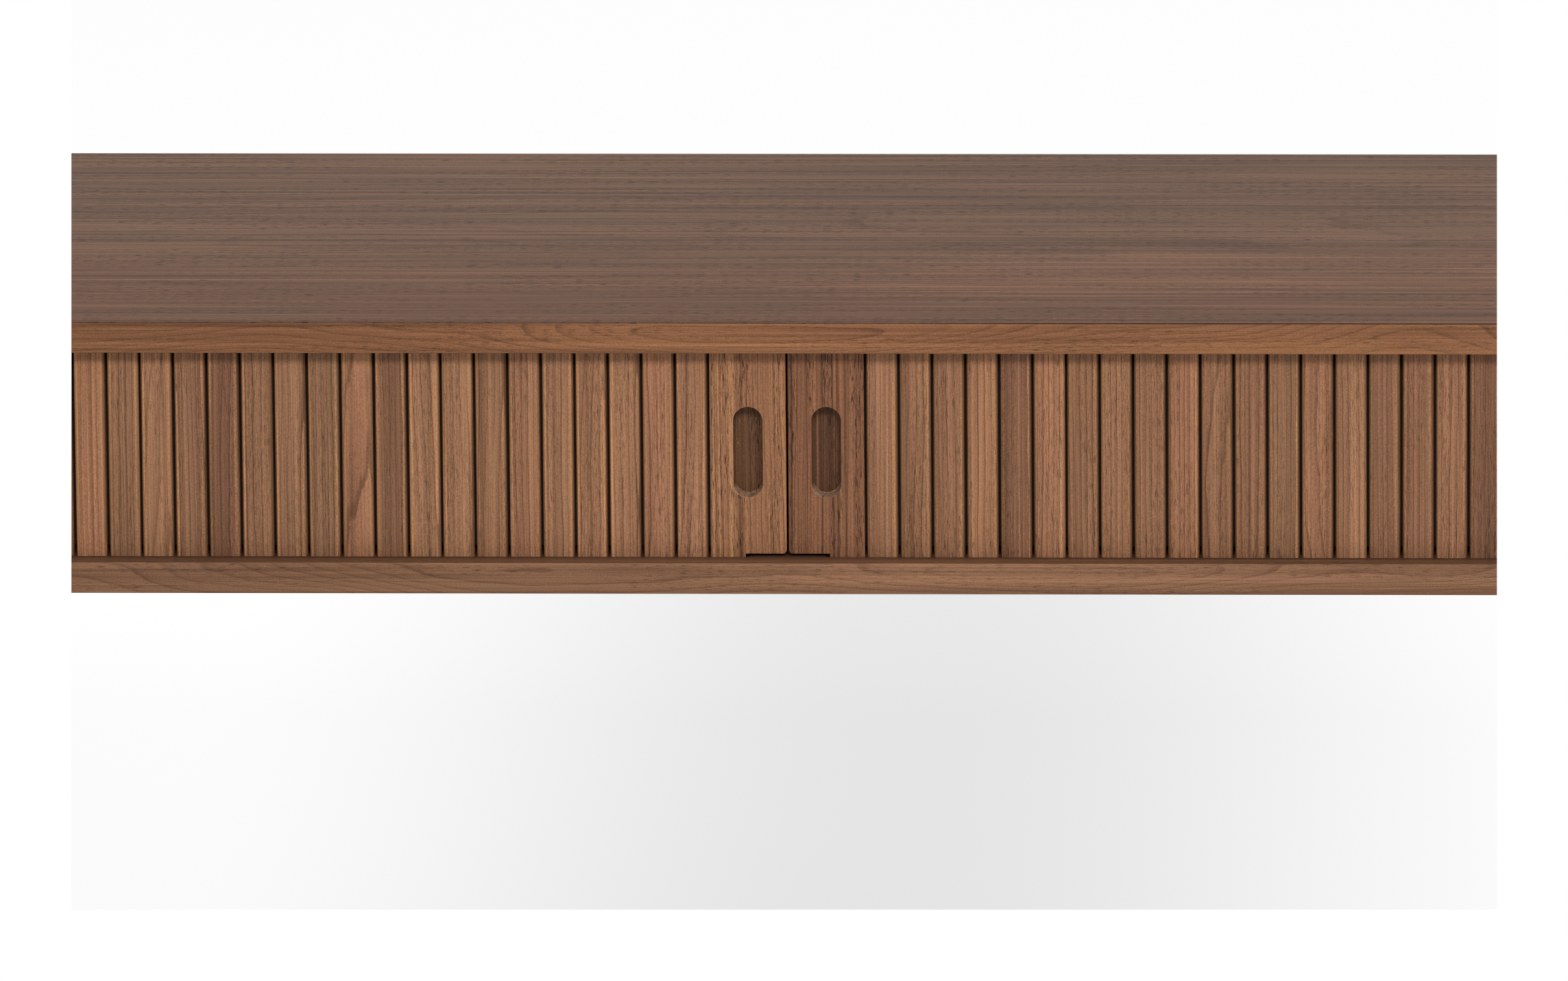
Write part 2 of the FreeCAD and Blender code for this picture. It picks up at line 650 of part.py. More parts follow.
def canvas_strip():
    """The strip that clamps the cloth into the rebate behind the right stile."""
    rise = "(Dims.opening_high - Dims.canvas_high) / 2"
    left = f"Dims.stile_gap / 2 + {LAP_START} + Dims.fit_play"
    right = "Dims.stile_gap / 2 + Dims.stile_wide"
    canvas_back = f"{FACE} + Dims.slat_thick + Dims.canvas_thick"
    return block(
        "right_canvas_strip", (left, canvas_back, f"{FLOOR} + {rise}"),
        (right, f"{canvas_back} + Dims.strip_thick", f"{CEILING} - {rise}"),
    )


# ---- legs ----------------------------------------------------------------------------------------


def tapered_leg():
    """The right back leg: square, tapered on its two inner faces, mortised for the rail."""
    body = new_body("leg_blank")
    ends = (
        ("leg_foot_plan", "Dims.glide_high", "Dims.leg_foot"),
        ("leg_top_plan", BOX_FOOT, "Dims.leg_top"),
    )
    plans = []
    for name, lift, size in ends:
        plan = new_sketch(body, name, lift=lift)
        inner = f"Dims.leg_top / 2 - {size}"
        outer = "Dims.leg_top / 2"
        radius = "Dims.leg_round"
        outline(plan, [
            (inner, inner, radius), (outer, inner, radius),
            (outer, outer, radius), (inner, outer, radius),
        ])
        plans.append(plan)
    loft = body.newObject("PartDesign::AdditiveLoft", "leg_taper")
    loft.Profile = plans[0]
    loft.Sections = [plans[1]]
    loft.Ruled = True
    body.Tip = loft
    place(body, LEG_X, LEG_Y)
    half = "Dims.tenon_thick / 2 + Dims.fit_play"
    mortise = block(
        "leg_mortise",
        (f"{LEG_X} - ({half})", f"{RAIL_REACH} - {OVERRUN}",
         f"{RAIL_FOOT} + Dims.tenon_shoulder - Dims.fit_play"),
        (f"{LEG_X} + {half}", f"{RAIL_REACH} + Dims.tenon_long + {END_PLAY}",
         f"{BOX_FOOT} - Dims.tenon_shoulder + Dims.fit_play"),
    )
    return cut("back_right_leg", body, [mortise])


def reversed_in_y(name, source):
    """The same piece at the other end, front for back."""
    twin = FreeCAD.ActiveDocument.addObject("Part::Mirroring", name)
    twin.Source = source
    twin.Normal = Vector(0, 1, 0)
    return twin


def rail_bolt(name, shank_long, foot):
    """A bolt from under its head: a shank with a round head below it."""
    x, y, z = foot
    shank = inner_pin(name + "_shank", "Dims.bolt_round", shank_long, foot)
    head_foot = (x, y, f"{z} - Dims.bolt_head_high")
    head = inner_pin(name + "_head", "Dims.bolt_head_round", "Dims.bolt_head_high", head_foot)
    bolt = FreeCAD.ActiveDocument.addObject("Part::MultiFuse", name)
    bolt.Shapes = [shank, head]
    return bolt


def leg_rail():
    """The rail between the right legs, tenoned at both ends and bored for its bolts."""
    body = new_body("rail_blank")
    high = "Dims.rail_high"
    plan = new_sketch(body, "rail_plan", plane="YZ_Plane", lift="-Dims.rail_thick / 2")
    rectangle(plan, f"-{RAIL_REACH}", "0", RAIL_REACH, high)
    pad(body, plan, "Dims.rail_thick", "rail_board")
    tenon_plan = new_sketch(body, "tenon_plan", plane="YZ_Plane", lift="-Dims.tenon_thick / 2")
    reach = f"{RAIL_REACH} + Dims.tenon_long"
    shoulder = "Dims.tenon_shoulder"
    rectangle(tenon_plan, f"-({reach})", shoulder, reach, f"{high} - {shoulder}")
    tenons = pad(body, tenon_plan, "Dims.tenon_thick", "rail_tenons")
    body.Tip = tenons
    place(body, LEG_X, "0", RAIL_FOOT)
    bolts, inserts, bores, sockets = [], [], [], []
    head_foot = f"{RAIL_FOOT} + Dims.bolt_sink"
    reach_up = "(Dims.rail_high - Dims.bolt_sink + Dims.insert_long)"
    for number, y in enumerate(("-Dims.bolt_offset", "Dims.bolt_offset"), start=1):
        bolts.append(rail_bolt(f"rail_bolt_{number}", reach_up, (LEG_X, y, head_foot)))
        bores.append(inner_pin(
            f"bolt_bore_{number}", "Dims.bolt_round + Dims.fit_play",
            f"{reach_up} + {END_PLAY}", (LEG_X, y, head_foot),
        ))
        bores.append(inner_pin(
            f"head_bore_{number}", "Dims.bolt_head_round + Dims.head_play",
            f"Dims.bolt_sink + {OVERRUN}", (LEG_X, y, f"{RAIL_FOOT} - {OVERRUN}"),
        ))
        sleeve = inner_pin(
            f"insert_sleeve_{number}", "Dims.insert_round", "Dims.insert_long",
            (LEG_X, y, BOX_FOOT),
        )
        inserts.append(cut(f"rail_insert_{number}", sleeve, [bores[-2]]))
        sockets.append(inner_pin(
            f"insert_socket_{number}", "Dims.insert_round + Dims.fit_play",
            f"Dims.insert_long + {OVERRUN} + {END_PLAY}", (LEG_X, y, f"{BOX_FOOT} - {OVERRUN}"),
        ))
    return cut("right_leg_rail", body, bores), bolts, inserts, sockets


def leg_glide():
    """A round glide under the right back leg."""
    middle = "Dims.leg_top / 2 - Dims.leg_foot / 2"
    foot = (f"{LEG_X} + {middle}", f"{LEG_Y} + {middle}", "0")
    return pin("back_right_glide", "Dims.glide_round", "Dims.glide_high", foot)


# ---- assembly ------------------------------------------------------------------------------------


def both_sides(pieces, right, left_name):
    """Adds a right-hand piece and its twin."""
    pieces += [right, mirrored(left_name, right)]


def build(doc):
    """Every piece of the desk."""
    pieces = []
    plan = track_plan(track_path())
    pegs, dowel_holes = dowels()
    rail, bolts, inserts, sockets = leg_rail()
    board_holes = dowel_holes + [mirrored(hole.Name + "_left", hole) for hole in dowel_holes]
    socket_holes = sockets + [mirrored(s.Name + "_left", s) for s in sockets]

    top_thick = "(Dims.board_thick - Dims.veneer_thick)"
    top_tools = track_tools("top", plan, CEILING) + housing_tools("top", CEILING)
    pieces.append(core_board("top_core", CEILING, top_thick, top_tools + board_holes))
    pieces += lippings("top", CEILING, top_thick, [CEILING])
    pieces.append(block(
        "top_veneer", (f"-{HALF}", FRONT, f"{CEILING} + {top_thick}"), (HALF, BACK, "Dims.height"),
    ))
    track_foot = f"{FLOOR} - Dims.track_deep"
    housing_foot = f"{FLOOR} - Dims.housing_deep"
    bottom_tools = track_tools("bottom", plan, track_foot) + housing_tools("bottom", housing_foot)
    pieces.append(core_board(
        "bottom_core", BOX_FOOT, "Dims.board_thick", bottom_tools + board_holes + socket_holes,
    ))
    pieces += lippings("bottom", BOX_FOOT, "Dims.board_thick", [BOX_FOOT, FLOOR])

    side_blank = block("side_blank", (SIDE_INNER, POST_BACK, FLOOR), (HALF, BACK, CEILING))
    left, front, right, back = CENTRE_WALLS["back_panel"]
    back_groove = block(
        "side_back_groove", (left, front, f"{FLOOR} - {OVERRUN}"),
        (right, back, f"{CEILING} + {OVERRUN}"),
    )
    side = cut("right_side_panel", side_blank, [back_groove] + dowel_holes)
    both_sides(pieces, side, "left_side_panel")
    post_front = f"{FRONT} + Dims.post_inset"
    post = block("right_front_post", (OPEN_EDGE, post_front, FLOOR), (HALF, POST_BACK, CEILING))
    both_sides(pieces, post, "left_front_post")
    for name, wall_plan in INNER_WALLS.items():
        both_sides(pieces, wall("right_" + name, wall_plan), "left_" + name)
    for name, wall_plan in CENTRE_WALLS.items():
        pieces.append(wall(name, wall_plan))
    pieces.append(pegs)

    both_sides(pieces, straight_slats(), "left_slats")
    both_sides(pieces, corner_slats(), "left_corner_slats")
    both_sides(pieces, straight_canvas(), "left_canvas")
    both_sides(pieces, corner_canvas(), "left_corner_canvas")
    both_sides(pieces, lead_stile(), "left_lead_stile")
    both_sides(pieces, canvas_strip(), "left_canvas_strip")

    leg = tapered_leg()
    both_sides(pieces, leg, "back_left_leg")
    front_leg = reversed_in_y("front_right_leg", leg)
    both_sides(pieces, front_leg, "front_left_leg")
    both_sides(pieces, rail, "left_leg_rail")
    right_bolts = gather("right_bolts", bolts)
    right_inserts = gather("right_inserts", inserts)
    pieces.append(gather("rail_bolts", [right_bolts, mirrored("left_bolts", right_bolts)]))
    pieces.append(gather("rail_inserts", [right_inserts, mirrored("left_inserts", right_inserts)]))
    glide = leg_glide()
    back_pair = gather("back_glides", [glide, mirrored("back_left_glide", glide)])
    pieces.append(gather("leg_glides", [back_pair, reversed_in_y("front_glides", back_pair)]))
    doc.recompute()
    return pieces


def check(doc, pieces):
    """Stops at any failed object, bad shape or pocket that cuts nothing."""
    for thing in doc.Objects:
        if {"Invalid", "Error"} & set(thing.State):
            raise RuntimeError(f"{thing.Name} failed: {thing.State}")
        if thing.TypeId == "PartDesign::Pocket":
            if thing.Shape.Volume >= thing.BaseFeature.Shape.Volume:
                raise RuntimeError(f"{thing.Name} cuts nothing")
    for piece in pieces:
        if piece.Shape.isNull() or not piece.Shape.isValid():
            raise RuntimeError(f"{piece.Label} has a bad shape")


def main():
    doc = FreeCAD.newDocument("TambourDesk")
    make_sheet(doc)
    pieces = build(doc)
    check(doc, pieces)
    os.makedirs("parts", exist_ok=True)
    for piece in pieces:
        piece.Shape.exportStep(f"parts/{piece.Label}.step")
        solids = len(piece.Shape.Solids)
        print(f"{piece.Label}: {solids} solids, {piece.Shape.Volume / 1000:.1f} cm3")


main()
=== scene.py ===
"""Dresses a tambour desk.

It has a veneered worktop, round-edged walnut slats on cloth and two lead stiles with finger pulls, and stands
in a pale room.
"""

import logging
import math
from dataclasses import dataclass
from enum import Enum
from typing import Optional, Sequence, Union

import bmesh
import bpy
from mathutils import Matrix, Vector


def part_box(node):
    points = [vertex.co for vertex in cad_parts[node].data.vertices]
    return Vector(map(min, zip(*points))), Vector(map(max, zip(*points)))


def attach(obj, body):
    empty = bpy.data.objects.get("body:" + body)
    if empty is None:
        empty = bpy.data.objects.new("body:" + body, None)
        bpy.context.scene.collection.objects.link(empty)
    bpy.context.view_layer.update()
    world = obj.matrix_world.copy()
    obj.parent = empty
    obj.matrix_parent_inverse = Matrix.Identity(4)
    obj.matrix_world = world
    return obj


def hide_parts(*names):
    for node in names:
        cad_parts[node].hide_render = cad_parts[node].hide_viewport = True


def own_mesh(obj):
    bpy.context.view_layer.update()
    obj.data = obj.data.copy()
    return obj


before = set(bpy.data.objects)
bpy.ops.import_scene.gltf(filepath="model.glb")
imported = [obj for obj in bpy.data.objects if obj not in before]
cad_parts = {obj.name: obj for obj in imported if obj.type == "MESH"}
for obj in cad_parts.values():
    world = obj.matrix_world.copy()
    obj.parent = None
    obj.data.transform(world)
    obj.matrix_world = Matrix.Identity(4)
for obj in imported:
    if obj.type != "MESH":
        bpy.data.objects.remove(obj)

log = logging.getLogger("tambour_desk")

Colour = tuple[float, float, float]
Point = tuple[float, float, float]
Span = tuple[float, float]
Corners = tuple[Vector, Vector]
Socket = bpy.types.NodeSocket
Wire = Union[Socket, float, Sequence[float]]

VIEW_WIDE, VIEW_HIGH = 2417.0, 1512.0
BEND_X, BEND_Y = 0.6085, -0.169


def ink(red: int, green: int, blue: int) -> Colour:
    """A colour as it is mixed, from the values that a screen shows.

    Args:
        red: the screen's red, 0 to 255.
        green: its green.
        blue: its blue.

    Returns:
        The three linear values.
    """
    def linear(value: float) -> float:
        """One screen value made linear."""
        return value / 12.92 if value <= 0.04045 else ((value + 0.055) / 1.055) ** 2.4

    return linear(red / 255), linear(green / 255), linear(blue / 255)


def stand(name: str, data: bpy.types.ID) -> bpy.types.Object:
    """Puts a mesh, a lamp or a camera into the scene.

    Args:
        name: the object's name.
        data: what it shows.

    Returns:
        The object, at the origin.
    """
    made = bpy.data.objects.new(name, data)
    bpy.context.scene.collection.objects.link(made)
    return made


# ---------------------------------------------------------------- node bench


@dataclass(frozen=True)
class Noise:
    """A noise: its repeats per metre along X, Y and Z, its octaves, and how strong the finer ones are."""

    repeats: Point
    octaves: float = 2.0
    rough: float = 0.5


class Bench:
    """Lays out and wires the nodes of one shader or geometry tree."""

    def __init__(self, tree: bpy.types.NodeTree) -> None:
        """Keeps the tree that gets the nodes."""
        self.tree = tree
        self.count = 0

    def node(self, kind: str, settings: Optional[dict[str, object]] = None,
             wires: Optional[dict[Union[int, str], Wire]] = None) -> bpy.types.Node:
        """Adds a node and wires or sets its inputs.

        Args:
            kind: the node's type name.
            settings: its properties.
            wires: its inputs, by name or place, each a socket or a value.

        Returns:
            The node.
        """
        made = self.tree.nodes.new(kind)
        made.location = (200 * (self.count % 8), -220 * (self.count // 8))
        self.count += 1
        for name, value in (settings or {}).items():
            setattr(made, name, value)
        for key, value in (wires or {}).items():
            socket = made.inputs[key]
            if isinstance(value, Socket):
                self.tree.links.new(value, socket)
            elif isinstance(value, (tuple, list)) and socket.type == "RGBA":
                socket.default_value = (*value[:3], 1.0)
            else:
                socket.default_value = value
        return made

    def send(self, node: bpy.types.Node, *values: Socket) -> None:
        """Wires values to a node's first inputs, in their order."""
        for socket, value in zip(node.inputs, values):
            self.tree.links.new(value, socket)

    def maths(self, operation: str, first: Wire, second: Wire = 0.0, third: Wire = 0.0) -> Socket:
        """What a Math node gives, with its operation in Blender's word."""
        wires = {0: first, 1: second, 2: third}
        return self.node("ShaderNodeMath", {"operation": operation}, wires).outputs[0]

    def plus(self, first: Wire, second: Wire) -> Socket:
        """The sum of two values."""
        return self.maths("ADD", first, second)

    def minus(self, first: Wire, second: Wire) -> Socket:
        """The first value less the second."""
        return self.maths("SUBTRACT", first, second)

    def times(self, first: Wire, second: Wire) -> Socket:
        """The product of two values."""
        return self.maths("MULTIPLY", first, second)

    def scaled(self, value: Wire, factor: Wire, offset: Wire) -> Socket:
        """A value times a factor, and an offset added."""
        return self.maths("MULTIPLY_ADD", value, factor, offset)

    def swung(self, value: Wire, factor: Wire, offset: Wire) -> Socket:
        """As scaled, for a value from 0 to 1 that counts as nothing at its middle."""
        return self.scaled(self.minus(value, 0.5), factor, offset)

    def length(self, first: Wire, second: Wire) -> Socket:
        """The length of a flat vector, from its two numbers."""
        return self.maths("SQRT", self.plus(self.times(first, first), self.times(second, second)))

    def vector(self, operation: str, first: Wire, second: Wire) -> Socket:
        """The vector that a Vector Math node gives, with its operation in Blender's word."""
        return self.node("ShaderNodeVectorMath", {"operation": operation}, {0: first, 1: second}).outputs[0]

    def parts(self, place: Wire) -> Sequence[Socket]:
        """The X, Y and Z of a vector."""
        return self.node("ShaderNodeSeparateXYZ", None, {0: place}).outputs

    def joined(self, x: Wire, y: Wire, z: Wire) -> Socket:
        """A vector from its X, Y and Z."""
        return self.node("ShaderNodeCombineXYZ", None, {0: x, 1: y, 2: z}).outputs[0]

    def noise(self, place: Wire, own: Noise) -> Socket:
        """A noise, from 0 to 1."""
        return self.node("ShaderNodeTexNoise", {"noise_dimensions": "3D"}, {
            "Vector": self.vector("MULTIPLY", place, own.repeats), "Scale": 1.0, "Detail": own.octaves,
            "Roughness": own.rough}).outputs[0]

    def step(self, value: Wire, none: Wire, full: Wire) -> Socket:
        """A smooth change from 0, at none, to 1, at full, which may be the smaller of the two."""
        return self.node("ShaderNodeMapRange", {"interpolation_type": "SMOOTHSTEP"},
                         {0: value, 1: none, 2: full, 3: 0.0, 4: 1.0}).outputs[0]

    def blend(self, share: Wire, first: Wire, second: Wire, how: str = "MIX") -> Socket:
        """Two colours mixed, by the second one's share, 0 to 1, and in a way named in Blender's word."""
        return self.node("ShaderNodeMix", {"data_type": "RGBA", "blend_type": how},
                         {0: share, 6: first, 7: second}).outputs[2]

    def shaded(self, colour: Wire, tone: Wire) -> Socket:
        """A colour made lighter or darker by a factor."""
        return self.blend(1.0, colour, self.joined(tone, tone, tone), "MULTIPLY")

    def ramp(self, value: Wire, stops: Sequence[tuple[float, Colour]]) -> Socket:
        """Colours laid along a value.

        Args:
            value: where on the ramp, 0 to 1.
            stops: places and their colours.

        Returns:
            The colour's socket.
        """
        made = self.node("ShaderNodeValToRGB", None, {0: value})
        band = made.color_ramp
        while len(band.elements) < len(stops):
            band.elements.new(0.5)
        for element, (place, colour) in zip(band.elements, stops):
            element.position = place
            element.color = (*colour, 1.0)
        return made.outputs[0]

    def place(self) -> Socket:
        """A point's place on its own piece."""
        return self.node("ShaderNodeTexCoord").outputs["Object"]

    def kept(self, name: str, output: str) -> Socket:
        """A value that the mesh keeps under a name."""
        return self.node("ShaderNodeAttribute", {"attribute_name": name}).outputs[output]

    def white(self, kind: str, strength: Wire) -> Socket:
        """White light from an Emission or a Background node."""
        wires = {"Color": (1.0, 1.0, 1.0), "Strength": strength}
        return self.node(f"ShaderNode{kind}", None, wires).outputs[0]

    def seen(self) -> Socket:
        """Which light the camera sees, straight on, by reflection or through glass.

        Returns:
            A socket that is 1 for that light and 0 for all other.
        """
        rays = self.node("ShaderNodeLightPath").outputs
        sent_on = self.maths("MAXIMUM", rays["Is Glossy Ray"], rays["Is Transmission Ray"])
        return self.maths("MAXIMUM", rays["Is Camera Ray"], sent_on)


@dataclass(frozen=True)
class BoardFigure:
    """What the figure of every board is made of.

    The noises have the grain along X. A pair that ends in rise or fall says where a mask is nothing and where
    it is full: for band and line in one growth ring, which runs from 0 to 1, and for the others in their
    noise. The band is the ring's late wood and the line its dark end.
    """

    sway: Noise = Noise((1.7, 6.0, 6.0), 2.0, 0.45)
    ripple: Noise = Noise((16.0, 60.0, 60.0), 3.0, 0.6)
    ripple_share: float = 0.75
    band_rise: Span = (0.15, 0.90)
    band_fall: Span = (1.0, 0.93)
    band_share: float = 0.35
    line_rise: Span = (0.74, 0.90)
    line_fall: Span = (1.0, 0.95)
    line_share: float = 0.65
    year_share: float = 0.55
    year_least: float = 0.45
    fibre: Noise = Noise((4.0, 480.0, 480.0), 5.0, 0.72)
    fuzz: Noise = Noise((800.0, 1800.0, 1800.0), 1.0)
    fuzz_share: float = 0.62
    streak: Noise = Noise((1.1, 100.0, 100.0), 5.0, 0.64)
    pores: Noise = Noise((110.0, 1900.0, 1900.0), 1.0)
    pores_rise: Span = (0.56, 0.66)
    pore_patches: Noise = Noise((5.0, 90.0, 90.0), 1.0)
    pore_patches_rise: Span = (0.34, 0.60)
    shade: Noise = Noise((1.6, 13.0, 13.0))
    fleck: Noise = Noise((300.0, 900.0, 900.0), 0.0)
    fleck_rise: Span = (0.775, 0.83)


class SharedEffects:
    """The shader node groups that several finishes use, each built once.

    The worn edges' reach is broken up by a noise, with its factor and offset. SLUB is the yarn's unevenness.
    """

    RAGGED = Noise((60.0, 60.0, 60.0))
    RAGGED_REACH: Span = (0.9, 0.55)
    SLUB = Noise((500.0, 500.0, 60.0), 2.0, 0.6)

    def __init__(self) -> None:
        """Builds the groups."""
        self.grain = self.timber_grain(BoardFigure())
        self.wear = self.edge_wear()
        self.weave = self.plain_weave()

    @staticmethod
    def group(name: str, inputs: Sequence[tuple[str, str, object]],
              outputs: Sequence[str]) -> tuple[Bench, bpy.types.Node, bpy.types.Node]:
        """An empty shader group with its sockets.

        Args:
            name: the group's name.
            inputs: each input's name, kind and default.
            outputs: the names of its number outputs.

        Returns:
            The bench of the group, its input node and its output node.
        """
        tree = bpy.data.node_groups.new(name, "ShaderNodeTree")
        for title, kind, value in inputs:
            socket = tree.interface.new_socket(name=title, in_out="INPUT", socket_type=f"NodeSocket{kind}")
            socket.default_value = value
        for title in outputs:
            tree.interface.new_socket(name=title, in_out="OUTPUT", socket_type="NodeSocketFloat")
        bench = Bench(tree)
        return bench, bench.node("NodeGroupInput"), bench.node("NodeGroupOutput")

    def timber_grain(self, own: BoardFigure) -> bpy.types.NodeTree:
        """Rings, fibre, streaks, pores, broad shade and pale flecks of a board whose grain runs along X.

        Args:
            own: what the figure is made of.

        Returns:
            The group.
        """
        bench, given, out = self.group("timber grain", [
            ("Place", "Vector", (0.0, 0.0, 0.0)), ("Heart", "Vector", (0.0, 0.1, 0.1)),
            ("Ring Spacing", "Float", 0.004), ("Wander", "Float", 0.03), ("Fineness", "Float", 1.0)],
            ["Rings", "Fibre", "Streak", "Pores", "Shade", "Fleck"])
        place, heart, spacing, wander, fineness = given.outputs[:5]
        moved = bench.vector("ADD", place, heart)
        sway = bench.minus(bench.noise(moved, own.sway), 0.5)
        ripple = bench.minus(bench.noise(moved, own.ripple), 0.5)
        _, across, deep = bench.parts(moved)
        from_heart = bench.length(bench.scaled(sway, wander, across), bench.scaled(sway, wander, deep))
        from_heart = bench.scaled(ripple, bench.times(spacing, own.ripple_share), from_heart)
        turn = bench.maths("DIVIDE", from_heart, spacing)
        part = bench.maths("FRACT", turn)
        band = bench.times(bench.step(part, *own.band_rise), bench.step(part, *own.band_fall))
        line = bench.times(bench.step(part, *own.line_rise), bench.step(part, *own.line_fall))
        late = bench.scaled(band, own.band_share, bench.times(line, own.line_share))
        year = bench.node("ShaderNodeTexWhiteNoise", {"noise_dimensions": "1D"},
                          {"W": bench.maths("FLOOR", turn)}).outputs[0]
        rings = bench.times(late, bench.scaled(year, own.year_share, own.year_least))
        fine = bench.vector("MULTIPLY", moved, bench.joined(1.0, fineness, fineness))
        fibre = bench.noise(fine, own.fibre)
        fibre = bench.swung(bench.noise(moved, own.fuzz), own.fuzz_share, fibre)
        streak = bench.noise(fine, own.streak)
        pores = bench.step(bench.noise(moved, own.pores), *own.pores_rise)
        patches = bench.step(bench.noise(moved, own.pore_patches), *own.pore_patches_rise)
        pores = bench.times(pores, patches)
        shade = bench.noise(moved, own.shade)
        fleck = bench.step(bench.noise(moved, own.fleck), *own.fleck_rise)
        bench.send(out, rings, fibre, streak, pores, shade, fleck)
        return bench.tree

    def edge_wear(self) -> bpy.types.NodeTree:
        """A mask along the edges of a box, broken up a little.

        Returns:
            The group.
        """
        bench, given, out = self.group("edge wear", [
            ("Place", "Vector", (0.0, 0.0, 0.0)), ("Low Corner", "Vector", (0.0, 0.0, 0.0)),
            ("High Corner", "Vector", (1.0, 1.0, 1.0)), ("Reach", "Float", 0.002)], ["Edge"])
        place, low, high, reach = given.outputs[:4]
        x, y, z = bench.parts(bench.vector(
            "MINIMUM", bench.vector("SUBTRACT", place, low), bench.vector("SUBTRACT", high, place)))
        least = bench.maths("MINIMUM", x, bench.maths("MINIMUM", y, z))
        most = bench.maths("MAXIMUM", x, bench.maths("MAXIMUM", y, z))
        middle = bench.minus(bench.minus(bench.plus(x, bench.plus(y, z)), least), most)
        ragged = bench.scaled(bench.noise(place, self.RAGGED), *self.RAGGED_REACH)
        bench.send(out, bench.step(middle, bench.times(reach, ragged), 0.0))
        return bench.tree

    def plain_weave(self) -> bpy.types.NodeTree:
        """The threads of a plain woven cloth, whose first coordinate runs across and whose second runs up.

        Returns:
            The group.
        """
        bench, given, out = self.group("plain weave", [
            ("Place", "Vector", (0.0, 0.0, 0.0)), ("Threads", "Float", 1600.0)], ["Threads Up", "Slub"])
        place, threads = given.outputs[:2]
        turns = [bench.times(value, threads) for value in list(bench.parts(place))[:2]]
        humps = [bench.maths("ABSOLUTE", bench.maths("SINE", bench.times(value, math.pi))) for value in turns]
        whole = [bench.maths("FLOOR", value) for value in turns]
        odd = bench.maths("MODULO", bench.plus(*whole), 2.0)
        up = bench.plus(bench.times(humps[0], odd), bench.times(humps[1], bench.minus(1.0, odd)))
        bench.send(out, up, bench.noise(place, self.SLUB))
        return bench.tree


# ---------------------------------------------------------------- finishes


class Grain(Enum):
    """Which way the fibres of a piece run."""

    LONG = "x"
    DEEP = "y"
    UPRIGHT = "z"


@dataclass(frozen=True)
class Walnut:
    """One board's colours and figure, under a matt hardwax oil.

    The colours are early wood, late wood and a pale streak. heart is where the tree's middle lies from the
    frame's origin, in the board's own directions, and sets the figure. The early wood's colour at the desk's
    back, where it differs, is a painted sheen, paler and greyer. glue_line is the Y of an edge that a dark
    line of glue runs along. How much darker the faces are that look up is painted shade. A pair says where a
    mask is nothing and where it is full.
    """

    title: str
    grain: Grain
    early: Colour
    late: Colour
    pale: Colour
    heart: Point = (0.0, 0.07, 0.09)
    ring_spacing: float = 0.0045
    wander: float = 0.03
    rings: float = 0.6
    streaks: float = 0.5
    fibres: float = 0.35
    pores: float = 0.5
    patches: float = 0.4
    fineness: float = 1.0
    gloss: float = 0.52
    gloss_fibres: float = 0.16
    gloss_pores: float = 0.12
    shine: float = 0.15
    refraction: float = 1.46
    relief: float = 0.35
    relief_fibres: float = 0.45
    edge: float = 0.25
    edge_reach: float = 0.0022
    lift: Span = (0.50, 0.70)
    sink: Span = (0.50, 0.33)
    flecks: float = 0.30
    depth: float = 0.00012
    glue_line: Optional[float] = None
    glue: Colour = ink(58, 36, 24)
    glue_behind: Span = (0.0009, 0.0003)
    glue_patches: Span = (0.40, 0.56)
    painted_rear_sheen: Optional[Colour] = None
    painted_rear_sheen_rise: Span = (-0.20, 0.10)
    settled: float = 0.0
    settled_tone: Colour = ink(30, 20, 14)
    settled_rise: Span = (0.80, 0.98)


@dataclass(frozen=True)
class SlatEdge:
    """How a slat looks near its long edges.

    A pair says how far from the slat's middle line a mask is nothing and how far it is full, in metres, and a
    share says how strong it is. The round is paler, partly for its sanding and partly as a painted highlight,
    a thin dark line runs where it begins, and painted shade darkens it where it turns into the gap. The left
    edges have this a little further out and are paler still with a painted highlight, most of all on the left
    door, which left_door tells from the right one by the desk's X. speckle is a factor and an offset for the
    speckle's noise.
    """

    sanded: Colour = ink(180, 130, 87)
    sanded_rise: Span = (0.0074, 0.0080)
    sanded_fall: Span = (0.0105, 0.0093)
    speckle: Span = (2.2, -0.55)
    speckles: Noise = Noise((1500.0, 1500.0, 700.0), 1.0)
    line: Colour = ink(70, 46, 30)
    line_rise: Span = (0.0076, 0.0081)
    line_fall: Span = (0.0087, 0.0082)
    line_share: float = 0.22
    sunk: Colour = ink(56, 35, 22)
    sunk_rise: Span = (0.0090, 0.0117)
    sunk_share: float = 0.72
    ragged: float = 0.0010
    left_shift: float = 0.0010
    painted_highlight_rise: Span = (0.0084, 0.0094)
    paler: float = 0.02
    painted_highlight_left_door: float = 0.62
    left_door: Span = (0.02, -0.02)


@dataclass(frozen=True)
class Pull:
    """A stadium finger pull: its size, its middle on the right stile's face, and how its rim and inside look.

    A pair says where a mask is nothing and where it is full, in metres outwards from the pull's outline, back
    from the stile's face, or along the pull beyond its straight sides.
    """

    wide: float = 0.022
    high: float = 0.070
    middle: Point = (0.02925, -0.232, 0.655)
    rim_outside: Span = (0.0011, 0.0003)
    rim_inside: Span = (-0.0009, -0.0001)
    rim_back: Span = (0.0021, 0.0002)
    within: Span = (0.001, -0.0002)
    # painted shade inside the pull, growing back from the stile's face
    shade: Colour = ink(62, 42, 28)
    shade_back: Span = (0.0006, 0.0125)
    shade_share: float = 0.60
    end_grain: Colour = ink(182, 154, 128)
    ends_along: Span = (0.002, 0.007)
    ends_back: Span = (0.0003, 0.0008)
    ends_inside: Span = (-0.0007, -0.0003)
    ends_share: float = 0.75


